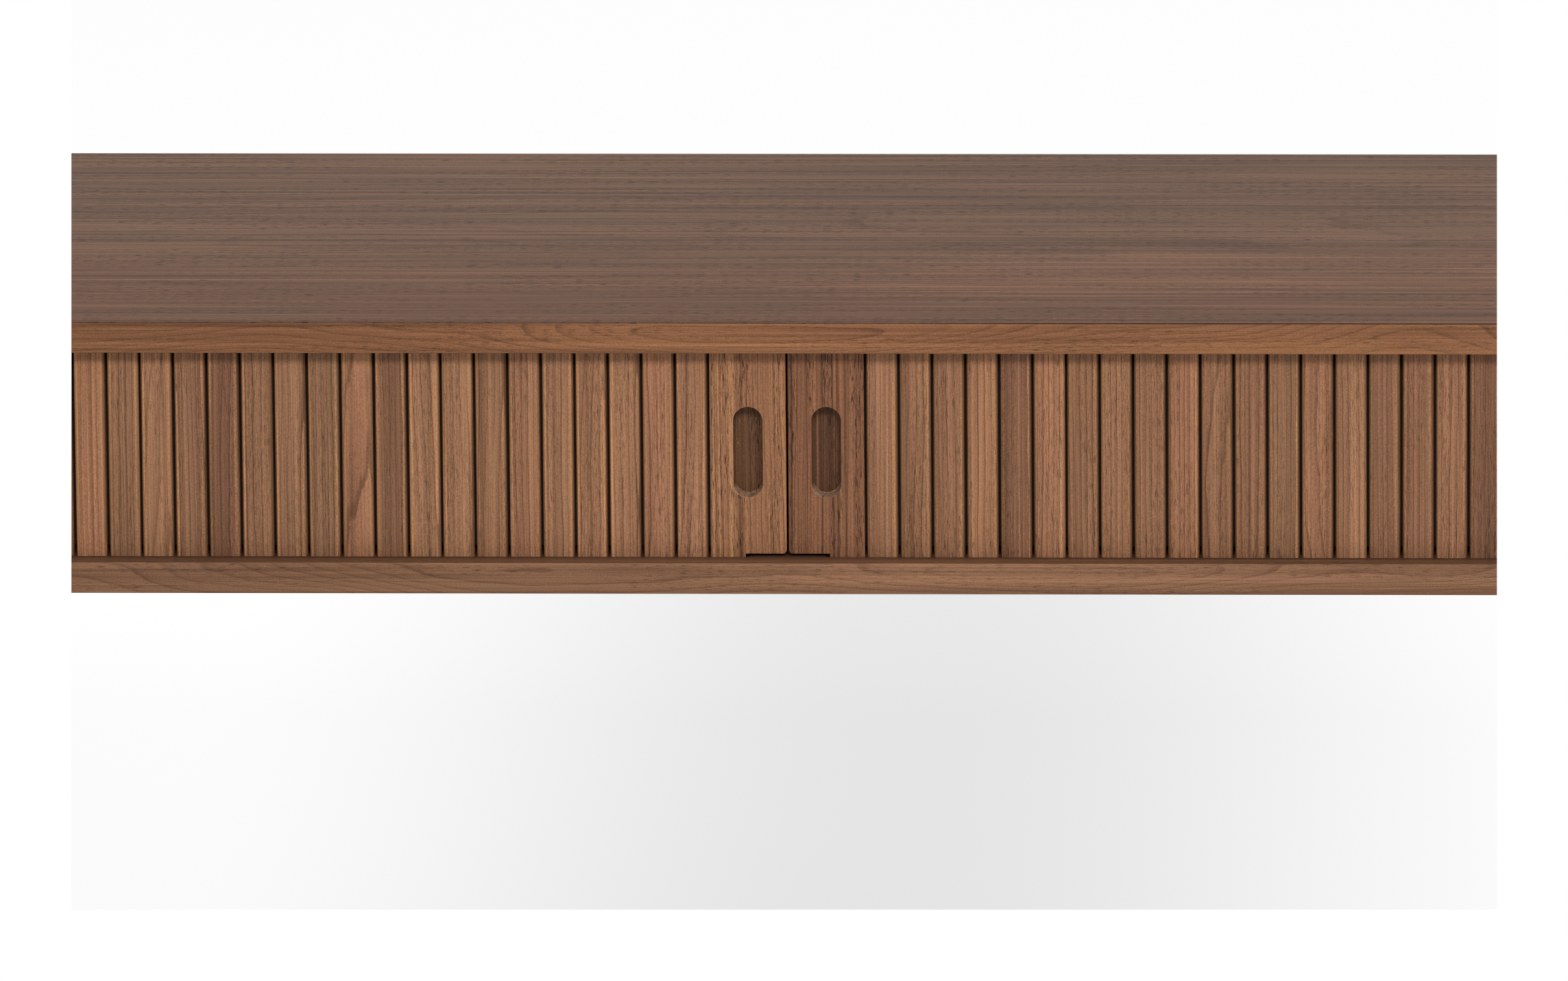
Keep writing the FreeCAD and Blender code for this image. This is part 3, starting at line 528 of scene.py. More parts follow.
@dataclass(frozen=True)
class Metal:
    """A turned or stamped fastener's finish, with dull patches and fine scratches."""

    title: str
    colour: Colour
    dull: Colour
    roughness: float
    patch: Noise = Noise((220.0, 220.0, 220.0), 3.0, 0.6)
    patch_rise: Span = (0.42, 0.70)
    scratch: Noise = Noise((2600.0, 2600.0, 240.0), 2.0, 0.6)
    scratches: float = 0.3
    relief: float = 0.25
    depth: float = 0.00008


@dataclass(frozen=True)
class Cloth:
    """The canvas behind the slats, with its threads per metre.

    Each pair for the slub is a factor and an offset.
    """

    title: str
    thread: Colour
    # painted shade: the darker colour between the threads
    valley: Colour
    threads: float = 1500.0
    thread_rise: Span = (0.15, 0.85)
    slub_tone: Span = (0.5, 0.75)
    slub_rough: Span = (0.1, 0.84)
    slub_height: float = 0.4
    relief: float = 0.5
    depth: float = 0.00015
    sheen: float = 0.15
    shine: float = 0.2


@dataclass(frozen=True)
class Felt:
    """The pressed pad of a leg's glide."""

    title: str
    colour: Colour
    fuzz: Colour
    fibres: Noise = Noise((1800.0, 1800.0, 1800.0), 4.0, 0.7)
    fuzz_rise: Span = (0.40, 0.68)
    roughness: float = 0.92
    relief: float = 0.6
    depth: float = 0.0003
    sheen: float = 0.3
    shine: float = 0.15


class Workshop:
    """Mixes the finishes and puts them on the pieces."""

    def __init__(self, effects: SharedEffects) -> None:
        """Keeps the groups that the finishes share."""
        self.effects = effects

    @staticmethod
    def blank(name: str) -> tuple[bpy.types.Material, Bench, bpy.types.Node]:
        """A new material with only its output.

        Args:
            name: the material's name.

        Returns:
            The material, its bench and its output node.
        """
        made = bpy.data.materials.new(name)
        made.use_nodes = True
        made.node_tree.nodes.clear()
        bench = Bench(made.node_tree)
        return made, bench, bench.node("ShaderNodeOutputMaterial")

    @staticmethod
    def shared(bench: Bench, tree: bpy.types.NodeTree, wires: dict[str, Wire]) -> Sequence[Socket]:
        """The outputs of a shared group, placed in a material with its own values."""
        return bench.node("ShaderNodeGroup", {"node_tree": tree}, wires).outputs

    def figure(self, bench: Bench, place: Wire, wood: Walnut) -> Sequence[Socket]:
        """A board's figure, with the grain turned its way.

        Args:
            bench: the material's bench.
            place: the coordinates on the piece.
            wood: the board's finish.

        Returns:
            Rings, fibre, streak, pores, shade and fleck.
        """
        x, y, z = bench.parts(place)
        order = {Grain.LONG: (x, y, z), Grain.DEEP: (y, x, z), Grain.UPRIGHT: (z, x, y)}[wood.grain]
        return list(self.shared(bench, self.effects.grain, {
            "Place": bench.joined(*order), "Heart": wood.heart, "Ring Spacing": wood.ring_spacing,
            "Wander": wood.wander, "Fineness": wood.fineness}))

    def worn(self, bench: Bench, place: Wire, box: Corners, reach: float) -> Socket:
        """A mask of a board's worn edges, from the corners of its box and how far the wear goes."""
        return self.shared(bench, self.effects.wear, {
            "Place": place, "Low Corner": tuple(box[0]), "High Corner": tuple(box[1]), "Reach": reach})[0]

    @staticmethod
    def surface(bench: Bench, out: bpy.types.Node, colour: Wire, rough: Wire,
                relief: tuple[Wire, float, float], more: dict[str, Wire]) -> None:
        """Ends a material in its shader, with a fine relief.

        Args:
            bench: the material's bench.
            out: its output node.
            colour: its colour.
            rough: its roughness.
            relief: the relief's height, strength and depth.
            more: the shader's other inputs.
        """
        height, strength, depth = relief
        normal = bench.node("ShaderNodeBump", None, {
            "Strength": strength, "Distance": depth, "Height": height}).outputs[0]
        bench.send(out, bench.node("ShaderNodeBsdfPrincipled", None, {
            "Base Color": colour, "Roughness": rough, "Normal": normal, **more}).outputs[0])

    def timber(self, bench: Bench, out: bpy.types.Node, wood: Walnut, body: Wire, figure: Sequence[Socket],
               edge: Wire) -> None:
        """Colour, sheen and relief of a board from its figure.

        Args:
            bench: the material's bench.
            out: the material's output node.
            wood: the board's finish.
            body: the early wood's colour.
            figure: rings, fibre, streak, pores, shade and fleck.
            edge: a mask of the worn edges.
        """
        rings, fibre, streak, pores, shade, fleck = figure
        colour = bench.blend(bench.times(rings, wood.rings), body, wood.late)
        colour = bench.blend(bench.times(bench.step(streak, *wood.lift), wood.streaks), colour, wood.pale)
        colour = bench.blend(bench.times(bench.step(streak, *wood.sink), wood.streaks), colour, wood.late)
        tone = bench.swung(shade, wood.patches * 2.0, 1.0)
        tone = bench.times(tone, bench.swung(fibre, wood.fibres * 2.0, 1.0))
        tone = bench.times(tone, bench.scaled(pores, -wood.pores, 1.0))
        colour = bench.shaded(colour, tone)
        colour = bench.blend(bench.times(fleck, wood.flecks), colour, wood.pale)
        colour = bench.blend(bench.times(edge, wood.edge), colour, wood.pale)
        rough = bench.scaled(fibre, wood.gloss_fibres, wood.gloss - wood.gloss_fibres / 2)
        rough = bench.scaled(pores, wood.gloss_pores, rough)
        height = bench.scaled(pores, -1.0, bench.times(fibre, wood.relief_fibres))
        self.surface(bench, out, colour, rough, (height, wood.relief, wood.depth),
                     {"IOR": wood.refraction, "Specular IOR Level": wood.shine})

    def walnut(self, wood: Walnut, box: Corners, name: str) -> bpy.types.Material:
        """A walnut board's material.

        Args:
            wood: the board's finish.
            box: the piece's lowest and highest corner, for its worn edges.
            name: the piece that it is for.

        Returns:
            The material.
        """
        made, bench, out = self.blank(f"{wood.title}, {name}")
        place = bench.place()
        figure = self.figure(bench, place, wood)
        edge = self.worn(bench, place, box, wood.edge_reach)
        body: Wire = wood.early
        # painted sheen: the early wood turns paler and greyer towards the desk's back
        if wood.painted_rear_sheen is not None:
            body = bench.blend(bench.step(bench.parts(place)[1], *wood.painted_rear_sheen_rise), body, wood.painted_rear_sheen)
        # painted shade: the faces that look up are darkened
        if wood.settled:
            up = bench.parts(bench.node("ShaderNodeNewGeometry").outputs["Normal"])[2]
            settled = bench.times(bench.step(up, *wood.settled_rise), wood.settled)
            body = bench.blend(settled, body, wood.settled_tone)
        if wood.glue_line is not None:
            none, full = (wood.glue_line + behind for behind in wood.glue_behind)
            front = bench.step(bench.parts(place)[1], none, full)
            body = bench.blend(bench.times(front, bench.step(figure[4], *wood.glue_patches)), body, wood.glue)
        self.timber(bench, out, wood, body, figure, edge)
        return made

    def slat_walnut(self, wood: Walnut, tones: Sequence[tuple[float, Colour]],
                    rim: SlatEdge) -> bpy.types.Material:
        """The slats' material: each slat cut from its own board, its round edges paler by sanding and painted
        highlight.

        Args:
            wood: the figure that the slats share.
            tones: the boards' colours, laid along the slat's own tone.
            rim: the look of the slats' edges.

        Returns:
            The material.
        """
        made, bench, out = self.blank(wood.title)
        place = bench.kept("board_place", "Vector")
        across = bench.kept("board_across", "Fac")
        body = bench.ramp(bench.kept("board_tone", "Fac"), tones)
        figure = self.figure(bench, place, wood)
        away = bench.maths("ABSOLUTE", across)
        left_edge = bench.maths("LESS_THAN", across, 0.0)
        reach = bench.scaled(left_edge, -rim.left_shift, away)
        ragged = bench.scaled(left_edge, -rim.left_shift, bench.swung(figure[2], rim.ragged, away))
        # partly sanding, partly painted highlight: the round edges made paler
        sanded = bench.times(bench.step(ragged, *rim.sanded_rise), bench.step(reach, *rim.sanded_fall))
        speckle = bench.scaled(bench.noise(place, rim.speckles), *rim.speckle)
        body = bench.blend(bench.times(sanded, speckle), body, rim.sanded)
        line = bench.times(bench.step(ragged, *rim.line_rise), bench.step(ragged, *rim.line_fall))
        body = bench.blend(bench.times(line, rim.line_share), body, rim.line)
        # painted shade: darker where the round edge turns into the gap
        body = bench.blend(bench.times(bench.step(reach, *rim.sunk_rise), rim.sunk_share), body, rim.sunk)
        # painted highlight: the slats' left edges paler, most of all on the left door
        left_door = bench.step(bench.parts(bench.place())[0], *rim.left_door)
        paler = bench.times(left_edge, bench.step(away, *rim.painted_highlight_rise))
        paler = bench.times(paler, bench.scaled(left_door, rim.painted_highlight_left_door, rim.paler))
        body = bench.shaded(body, bench.plus(paler, 1.0))
        self.timber(bench, out, wood, body, figure, 0.0)
        return made

    def stile_walnut(self, wood: Walnut, box: Corners, name: str, pull: Pull,
                     middle: Point) -> bpy.types.Material:
        """A lead stile's material: paler where the pull's rim is broken and where its inside shows end grain,
        with painted shade inside the pull.

        Args:
            wood: the stile's finish.
            box: the stile's lowest and highest corner.
            name: the stile.
            pull: the pull's size and look.
            middle: the pull's middle on this stile's face.

        Returns:
            The material.
        """
        made, bench, out = self.blank(f"{wood.title}, {name}")
        place = bench.place()
        figure = self.figure(bench, place, wood)
        edge = self.worn(bench, place, box, wood.edge_reach)
        x, back, z = bench.parts(bench.vector("SUBTRACT", place, middle))
        straight = (pull.high - pull.wide) / 2
        beyond = bench.maths("MAXIMUM", bench.minus(bench.maths("ABSOLUTE", z), straight), 0.0)
        outside = bench.minus(bench.length(x, beyond), pull.wide / 2)
        halo = bench.times(bench.step(outside, *pull.rim_outside), bench.step(outside, *pull.rim_inside))
        halo = bench.times(halo, bench.step(back, *pull.rim_back))
        within = bench.step(outside, *pull.within)
        # painted shade: the pull's inside darkens back from the stile's face
        shade = bench.times(bench.step(back, *pull.shade_back), within)
        body = bench.blend(bench.times(shade, pull.shade_share), wood.early, pull.shade)
        ends = bench.times(bench.step(beyond, *pull.ends_along), bench.times(
            bench.step(back, *pull.ends_back), bench.step(outside, *pull.ends_inside)))
        body = bench.blend(bench.times(bench.times(ends, within), pull.ends_share), body, pull.end_grain)
        self.timber(bench, out, wood, body, figure, bench.maths("MAXIMUM", edge, halo))
        return made

    def metal(self, finish: Metal) -> bpy.types.Material:
        """A fastener's material.

        Args:
            finish: the metal.

        Returns:
            The material.
        """
        made, bench, out = self.blank(finish.title)
        place = bench.place()
        patch = bench.noise(place, finish.patch)
        scratch = bench.noise(place, finish.scratch)
        colour = bench.blend(bench.step(patch, *finish.patch_rise), finish.colour, finish.dull)
        rough = bench.scaled(scratch, finish.scratches, finish.roughness - finish.scratches / 2)
        self.surface(bench, out, colour, rough, (scratch, finish.relief, finish.depth), {"Metallic": 1.0})
        return made

    def cloth(self, finish: Cloth) -> bpy.types.Material:
        """The canvas's material, woven along the cloth's own coordinates.

        Args:
            finish: the cloth.

        Returns:
            The material.
        """
        made, bench, out = self.blank(finish.title)
        place = bench.kept("cloth_place", "Vector")
        up, slub = self.shared(bench, self.effects.weave, {"Place": place, "Threads": finish.threads})
        # painted shade in the weave: darker where the threads dip
        colour = bench.blend(bench.step(up, *finish.thread_rise), finish.valley, finish.thread)
        colour = bench.shaded(colour, bench.scaled(slub, *finish.slub_tone))
        rough = bench.scaled(slub, *finish.slub_rough)
        height = bench.scaled(slub, finish.slub_height, up)
        self.surface(bench, out, colour, rough, (height, finish.relief, finish.depth),
                     {"Sheen Weight": finish.sheen, "Specular IOR Level": finish.shine})
        return made

    def felt(self, finish: Felt) -> bpy.types.Material:
        """The glide pads' material.

        Args:
            finish: the felt.

        Returns:
            The material.
        """
        made, bench, out = self.blank(finish.title)
        fuzz = bench.noise(bench.place(), finish.fibres)
        colour = bench.blend(bench.step(fuzz, *finish.fuzz_rise), finish.colour, finish.fuzz)
        self.surface(bench, out, colour, finish.roughness, (fuzz, finish.relief, finish.depth),
                     {"Sheen Weight": finish.sheen, "Specular IOR Level": finish.shine})
        return made

    @staticmethod
    def dress(node: str, material: bpy.types.Material) -> None:
        """Gives a solid of the frame its material.

        Args:
            node: the solid's name.
            material: what it gets.
        """
        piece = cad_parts[node]
        piece.data.materials.clear()
        piece.data.materials.append(material)
        log.info("%s: %s", node, material.name)


# ---------------------------------------------------------------- sub-assemblies


class Side(Enum):
    """The desk's two doors; the value is the direction from the middle to the door's bend."""

    LEFT = -1
    RIGHT = 1

    @property
    def word(self) -> str:
        """The side's name in the names of its pieces."""
        return self.name.lower()


@dataclass
class SlatDoor:
    """The straight slats of one door, made by geometry nodes, each from its own board.

    A slat's front part has rounded edges and runs into the track of both boards. Its back part stops short of
    them. cut_shift is how far a slat's place in its board is moved at random, at most. shift_seed is what
    that adds to the door's seed. sharp is the least angle of a sharp edge, in degrees.
    """

    side: Side
    seed: int
    count: int = 22
    pitch: float = 0.025
    gap: float = 0.0015
    thick: float = 0.010
    rounded: float = 0.004
    round_steps: int = 7
    arris: float = 0.0003
    high: float = 0.161
    foot: float = 0.5745
    face: float = -0.232
    first: float = 0.05925
    tongue_thick: float = 0.006
    tongue_long: float = 0.0057
    cut_shift: Point = (0.045, 0.05, 3.0)
    shift_seed: int = 7
    weld: float = 0.00001
    sharp: float = 32.0

    def tree(self) -> bpy.types.NodeTree:
        """The geometry nodes that make the slats.

        Returns:
            The tree.
        """
        made = bpy.data.node_groups.new(f"{self.side.word} slat run", "GeometryNodeTree")
        face = made.interface
        face.new_socket(name="Slats", in_out="OUTPUT", socket_type="NodeSocketGeometry")
        for name, kind in (("Count", "Int"), ("Start", "Vector"), ("Pitch", "Float"), ("Width", "Float"),
                           ("Thickness", "Float"), ("Rounding", "Float"), ("Height", "Float"),
                           ("Tongue Thickness", "Float"), ("Tongue Length", "Float"), ("Seed", "Int"),
                           ("Finish", "Material")):
            face.new_socket(name=name, in_out="INPUT", socket_type=f"NodeSocket{kind}")
        bench = Bench(made)
        given = bench.node("NodeGroupInput").outputs
        out = bench.node("NodeGroupOutput")
        slat = self.slat(bench, given)
        line = bench.node("GeometryNodeMeshLine", {"mode": "OFFSET", "count_mode": "TOTAL"}, {
            "Count": given["Count"], "Start Location": given["Start"],
            "Offset": bench.joined(given["Pitch"], 0.0, 0.0)}).outputs[0]
        row = bench.node("GeometryNodeInstanceOnPoints", None, {"Points": line, "Instance": slat}).outputs[0]
        which = bench.node("GeometryNodeInputIndex").outputs[0]
        tone = bench.node("FunctionNodeRandomValue", {"data_type": "FLOAT"}, {
            "ID": which, "Seed": given["Seed"]}).outputs[1]
        shift = bench.node("FunctionNodeRandomValue", {"data_type": "FLOAT_VECTOR"}, {
            0: tuple(-most for most in self.cut_shift), 1: self.cut_shift, "ID": which,
            "Seed": bench.plus(given["Seed"], self.shift_seed)}).outputs[0]
        row = self.store(bench, row, ("FLOAT", "INSTANCE"), "board_tone", tone)
        row = self.store(bench, row, ("FLOAT_VECTOR", "INSTANCE"), "board_shift", shift)
        solid = bench.node("GeometryNodeRealizeInstances", None, {0: row}).outputs[0]
        _, deep, up = bench.parts(bench.node("GeometryNodeInputPosition").outputs[0])
        start = bench.joined(self.recall(bench, "FLOAT", "board_across"), deep, up)
        cut = bench.vector("ADD", start, self.recall(bench, "FLOAT_VECTOR", "board_shift"))
        solid = self.store(bench, solid, ("FLOAT_VECTOR", "POINT"), "board_place", cut)
        bench.send(out, bench.node("GeometryNodeSetMaterial", None, {
            "Geometry": solid, "Material": given["Finish"]}).outputs[0])
        return made

    def slat(self, bench: Bench, given: Sequence[Socket]) -> Socket:
        """One slat, with its front part longer than its back part by a tongue at each end.

        Args:
            bench: the tree's bench.
            given: the tree's inputs.

        Returns:
            The slat, which knows how far each point lies from its middle line.
        """
        wide, thick, high = given["Width"], given["Thickness"], given["Height"]
        tongue_thick, tongue_long = given["Tongue Thickness"], given["Tongue Length"]
        front_size = (wide, tongue_thick, bench.scaled(tongue_long, 2.0, high))
        back_size = (wide, bench.minus(thick, tongue_thick), high)
        front = self.board(bench, front_size, given["Rounding"], 0.0, bench.times(tongue_long, -1.0))
        back = self.board(bench, back_size, 0.0, bench.times(thick, 0.5), 0.0)
        both = self.together(bench, back, front)
        across = bench.parts(bench.node("GeometryNodeInputPosition").outputs[0])[0]
        return self.store(bench, both, ("FLOAT", "POINT"), "board_across", across)

    def board(self, bench: Bench, size: tuple[Wire, Wire, Wire], rounding: Wire, behind: Wire,
              foot: Wire) -> Socket:
        """One upright board, closed all round, with its two front edges rounded.

        Args:
            bench: the tree's bench.
            size: the board's width, thickness and height.
            rounding: the radius of its front edges.
            behind: how far its middle stands behind the middle of the slat's front part.
            foot: where it starts.

        Returns:
            The board's mesh.
        """
        wide, thick, high = size
        outline = bench.node("GeometryNodeCurvePrimitiveQuadrilateral", {"mode": "RECTANGLE"}, {
            "Width": wide, "Height": thick}).outputs[0]
        deep = bench.parts(bench.node("GeometryNodeInputPosition").outputs[0])[1]
        radius = bench.scaled(bench.maths("LESS_THAN", deep, 0.0), rounding, self.arris)
        outline = bench.node("GeometryNodeFilletCurve", {"mode": "POLY"}, {
            "Curve": outline, 1: self.round_steps, "Radius": radius, "Limit Radius": True}).outputs[0]
        sheet = bench.node("GeometryNodeFillCurve", {"mode": "NGONS"}, {0: outline}).outputs[0]
        walls = bench.node("GeometryNodeExtrudeMesh", {"mode": "FACES"}, {
            "Mesh": sheet, "Offset": bench.joined(0.0, 0.0, 1.0), "Offset Scale": high,
            "Individual": False}).outputs[0]
        under = bench.node("GeometryNodeFlipFaces", None, {0: sheet}).outputs[0]
        closed = bench.node("GeometryNodeMergeByDistance", None, {
            "Geometry": self.together(bench, walls, under), "Distance": self.weld}).outputs[0]
        return bench.node("GeometryNodeTransform", None, {
            "Geometry": closed, "Translation": bench.joined(0.0, behind, foot)}).outputs[0]

    @staticmethod
    def together(bench: Bench, *meshes: Socket) -> Socket:
        """Meshes joined into one.

        Args:
            bench: the tree's bench.
            meshes: what is joined.

        Returns:
            The joined mesh.
        """
        joint = bench.node("GeometryNodeJoinGeometry")
        for mesh in meshes:
            bench.tree.links.new(mesh, joint.inputs[0])
        return joint.outputs[0]

    @staticmethod
    def store(bench: Bench, geometry: Wire, kept: tuple[str, str], name: str, value: Wire) -> Socket:
        """Keeps a value on the geometry under a name.

        Args:
            bench: the tree's bench.
            geometry: what gets it.
            kept: the value's data type, and where it is kept.
            name: its name.
            value: the value.

        Returns:
            The geometry with it.
        """
        settings = {"data_type": kept[0], "domain": kept[1]}
        return bench.node("GeometryNodeStoreNamedAttribute", settings, {
            "Geometry": geometry, "Name": name, "Value": value}).outputs[0]

    @staticmethod
    def recall(bench: Bench, kind: str, name: str) -> Socket:
        """A value of a data type that the geometry keeps under a name."""
        return bench.node("GeometryNodeInputNamedAttribute", {"data_type": kind}, {"Name": name}).outputs[0]

    def mesh(self, name: str, material: bpy.types.Material) -> bpy.types.Mesh:
        """The door's slats as one plain mesh.

        Args:
            name: the mesh's name.
            material: the slats' walnut.

        Returns:
            The mesh.
        """
        holder = stand(name + "_holder", bpy.data.meshes.new(name + "_holder"))
        wide = self.pitch - self.gap
        middle = self.first + wide / 2
        start = middle if self.side is Side.RIGHT else -middle - (self.count - 1) * self.pitch
        values = {"Count": self.count, "Start": (start, self.face + self.tongue_thick / 2, self.foot),
                  "Pitch": self.pitch, "Width": wide, "Thickness": self.thick, "Rounding": self.rounded,
                  "Height": self.high, "Tongue Thickness": self.tongue_thick,
                  "Tongue Length": self.tongue_long, "Seed": self.seed, "Finish": material}
        modifier = holder.modifiers.new("slats", "NODES")
        modifier.node_group = self.tree()
        for item in modifier.node_group.interface.items_tree:
            if item.in_out == "INPUT":
                modifier[item.identifier] = values[item.name]
        bpy.context.view_layer.update()
        mesh = bpy.data.meshes.new_from_object(holder.evaluated_get(bpy.context.evaluated_depsgraph_get()))
        holder.modifiers.clear()
        bpy.data.objects.remove(holder)
        mesh.name = name
        for polygon in mesh.polygons:
            polygon.use_smooth = True
        mesh.set_sharp_from_angle(angle=math.radians(self.sharp))
        if not mesh.materials:
            mesh.materials.append(material)
        return mesh

    def build(self, material: bpy.types.Material) -> None:
        """Makes the door's slats and hands them to the frame.

        Args:
            material: the slats' walnut.
        """
        name = f"{self.side.word}_slat_run"
        piece = stand(name, self.mesh(name, material))
        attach(piece, "frame")
        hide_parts(f"{self.side.word}_slats")
        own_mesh(piece)
        log.info("%s: %d slats, %d faces", name, self.count, len(piece.data.polygons))


@dataclass
class Canvas:
    """The cloth behind one door's slats: a straight run, and a piece round the bend.

    waver is how far the straight run's columns stand off its plane by turns.
    """

    side: Side
    thick: float = 0.0008
    waver: float = 0.00004
    columns: int = 88
    bend_columns: int = 24
    rows: int = 20

    def build(self, material: bpy.types.Material) -> None:
        """Makes both pieces.

        Args:
            material: the woven cloth.
        """
        low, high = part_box(f"{self.side.word}_canvas")
        wide, tall = high[0] - low[0], high[2] - low[2]
        path = [(low[0] + wide * step / self.columns, low[1] + self.waver * math.sin(step * math.pi / 2))
                for step in range(self.columns + 1)]
        piece = self.sheet(f"{self.side.word}_cloth", path, low[2], tall, (0.0, 1.0), material)
        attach(piece, "frame")
        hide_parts(f"{self.side.word}_canvas")
        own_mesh(piece)
        node = f"{self.side.word}_corner_canvas"
        low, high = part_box(node)
        tall = high[2] - low[2]
        radius = BEND_Y - low[1]
        sweep = math.acos(min(1.0, (BEND_Y - high[1]) / radius))
        sign = self.side.value
        turns = [sweep * step / self.bend_columns for step in range(self.bend_columns + 1)]
        path = [(sign * (BEND_X + radius * math.sin(turn)), BEND_Y - radius * math.cos(turn))
                for turn in turns]
        piece = self.sheet(f"{self.side.word}_corner_cloth", path if sign > 0 else path[::-1], low[2], tall,
                           None, material)
        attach(piece, "frame")
        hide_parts(node)
        log.info("%s canvas: two sheets", self.side.word)

    def sheet(self, name: str, path: Sequence[Span], foot: float, tall: float, inward: Optional[Span],
              material: bpy.types.Material) -> bpy.types.Object:
        """A thin cloth that stands on a path seen from above.

        Args:
            name: the piece's name.
            path: its front face's points from above, from -X to +X.
            foot: its lowest edge.
            tall: its height.
            inward: the direction of its thickness, or None for towards the bend's centre.
            material: the cloth.

        Returns:
            The piece.
        """
        body = bmesh.new()
        place = body.verts.layers.float_vector.new("cloth_place")
        sides = []
        for layer in (0.0, self.thick):
            side, run = [], 0.0
            for index, (x, y) in enumerate(path):
                if index:
                    run += math.dist(path[index - 1], path[index])
                centre = Vector((self.side.value * BEND_X - x, BEND_Y - y))
                aim = centre.normalized() if inward is None else Vector(inward)
                column = []
                for row in range(self.rows + 1):
                    z = foot + tall * row / self.rows
                    vert = body.verts.new((x + aim.x * layer, y + aim.y * layer, z))
                    vert[place] = (run, z, 0.0)
                    column.append(vert)
                side.append(column)
            sides.append(side)
        self.close(body, *sides)
        mesh = bpy.data.meshes.new(name)
        body.to_mesh(mesh)
        body.free()
        mesh.materials.append(material)
        return stand(name, mesh)

    def close(self, body: bmesh.types.BMesh, front: Sequence[Sequence[bmesh.types.BMVert]],
              back: Sequence[Sequence[bmesh.types.BMVert]]) -> None:
        """Gives a cloth its faces, front, back and all four edges.

        Args:
            body: the cloth.
            front: the columns of its front.
            back: the columns of its back.
        """
        last, top = len(front) - 1, self.rows
        for i in range(last):
            for j in range(top):
                body.faces.new((front[i][j], front[i + 1][j], front[i + 1][j + 1], front[i][j + 1]))
                body.faces.new((back[i][j], back[i][j + 1], back[i + 1][j + 1], back[i + 1][j]))
            body.faces.new((front[i][0], back[i][0], back[i + 1][0], front[i + 1][0]))
            body.faces.new((front[i][top], front[i + 1][top], back[i + 1][top], back[i][top]))
        for j in range(top):
            body.faces.new((front[0][j], front[0][j + 1], back[0][j + 1], back[0][j]))
            body.faces.new((front[last][j], back[last][j], back[last][j + 1], front[last][j + 1]))
        bmesh.ops.recalc_face_normals(body, faces=body.faces)


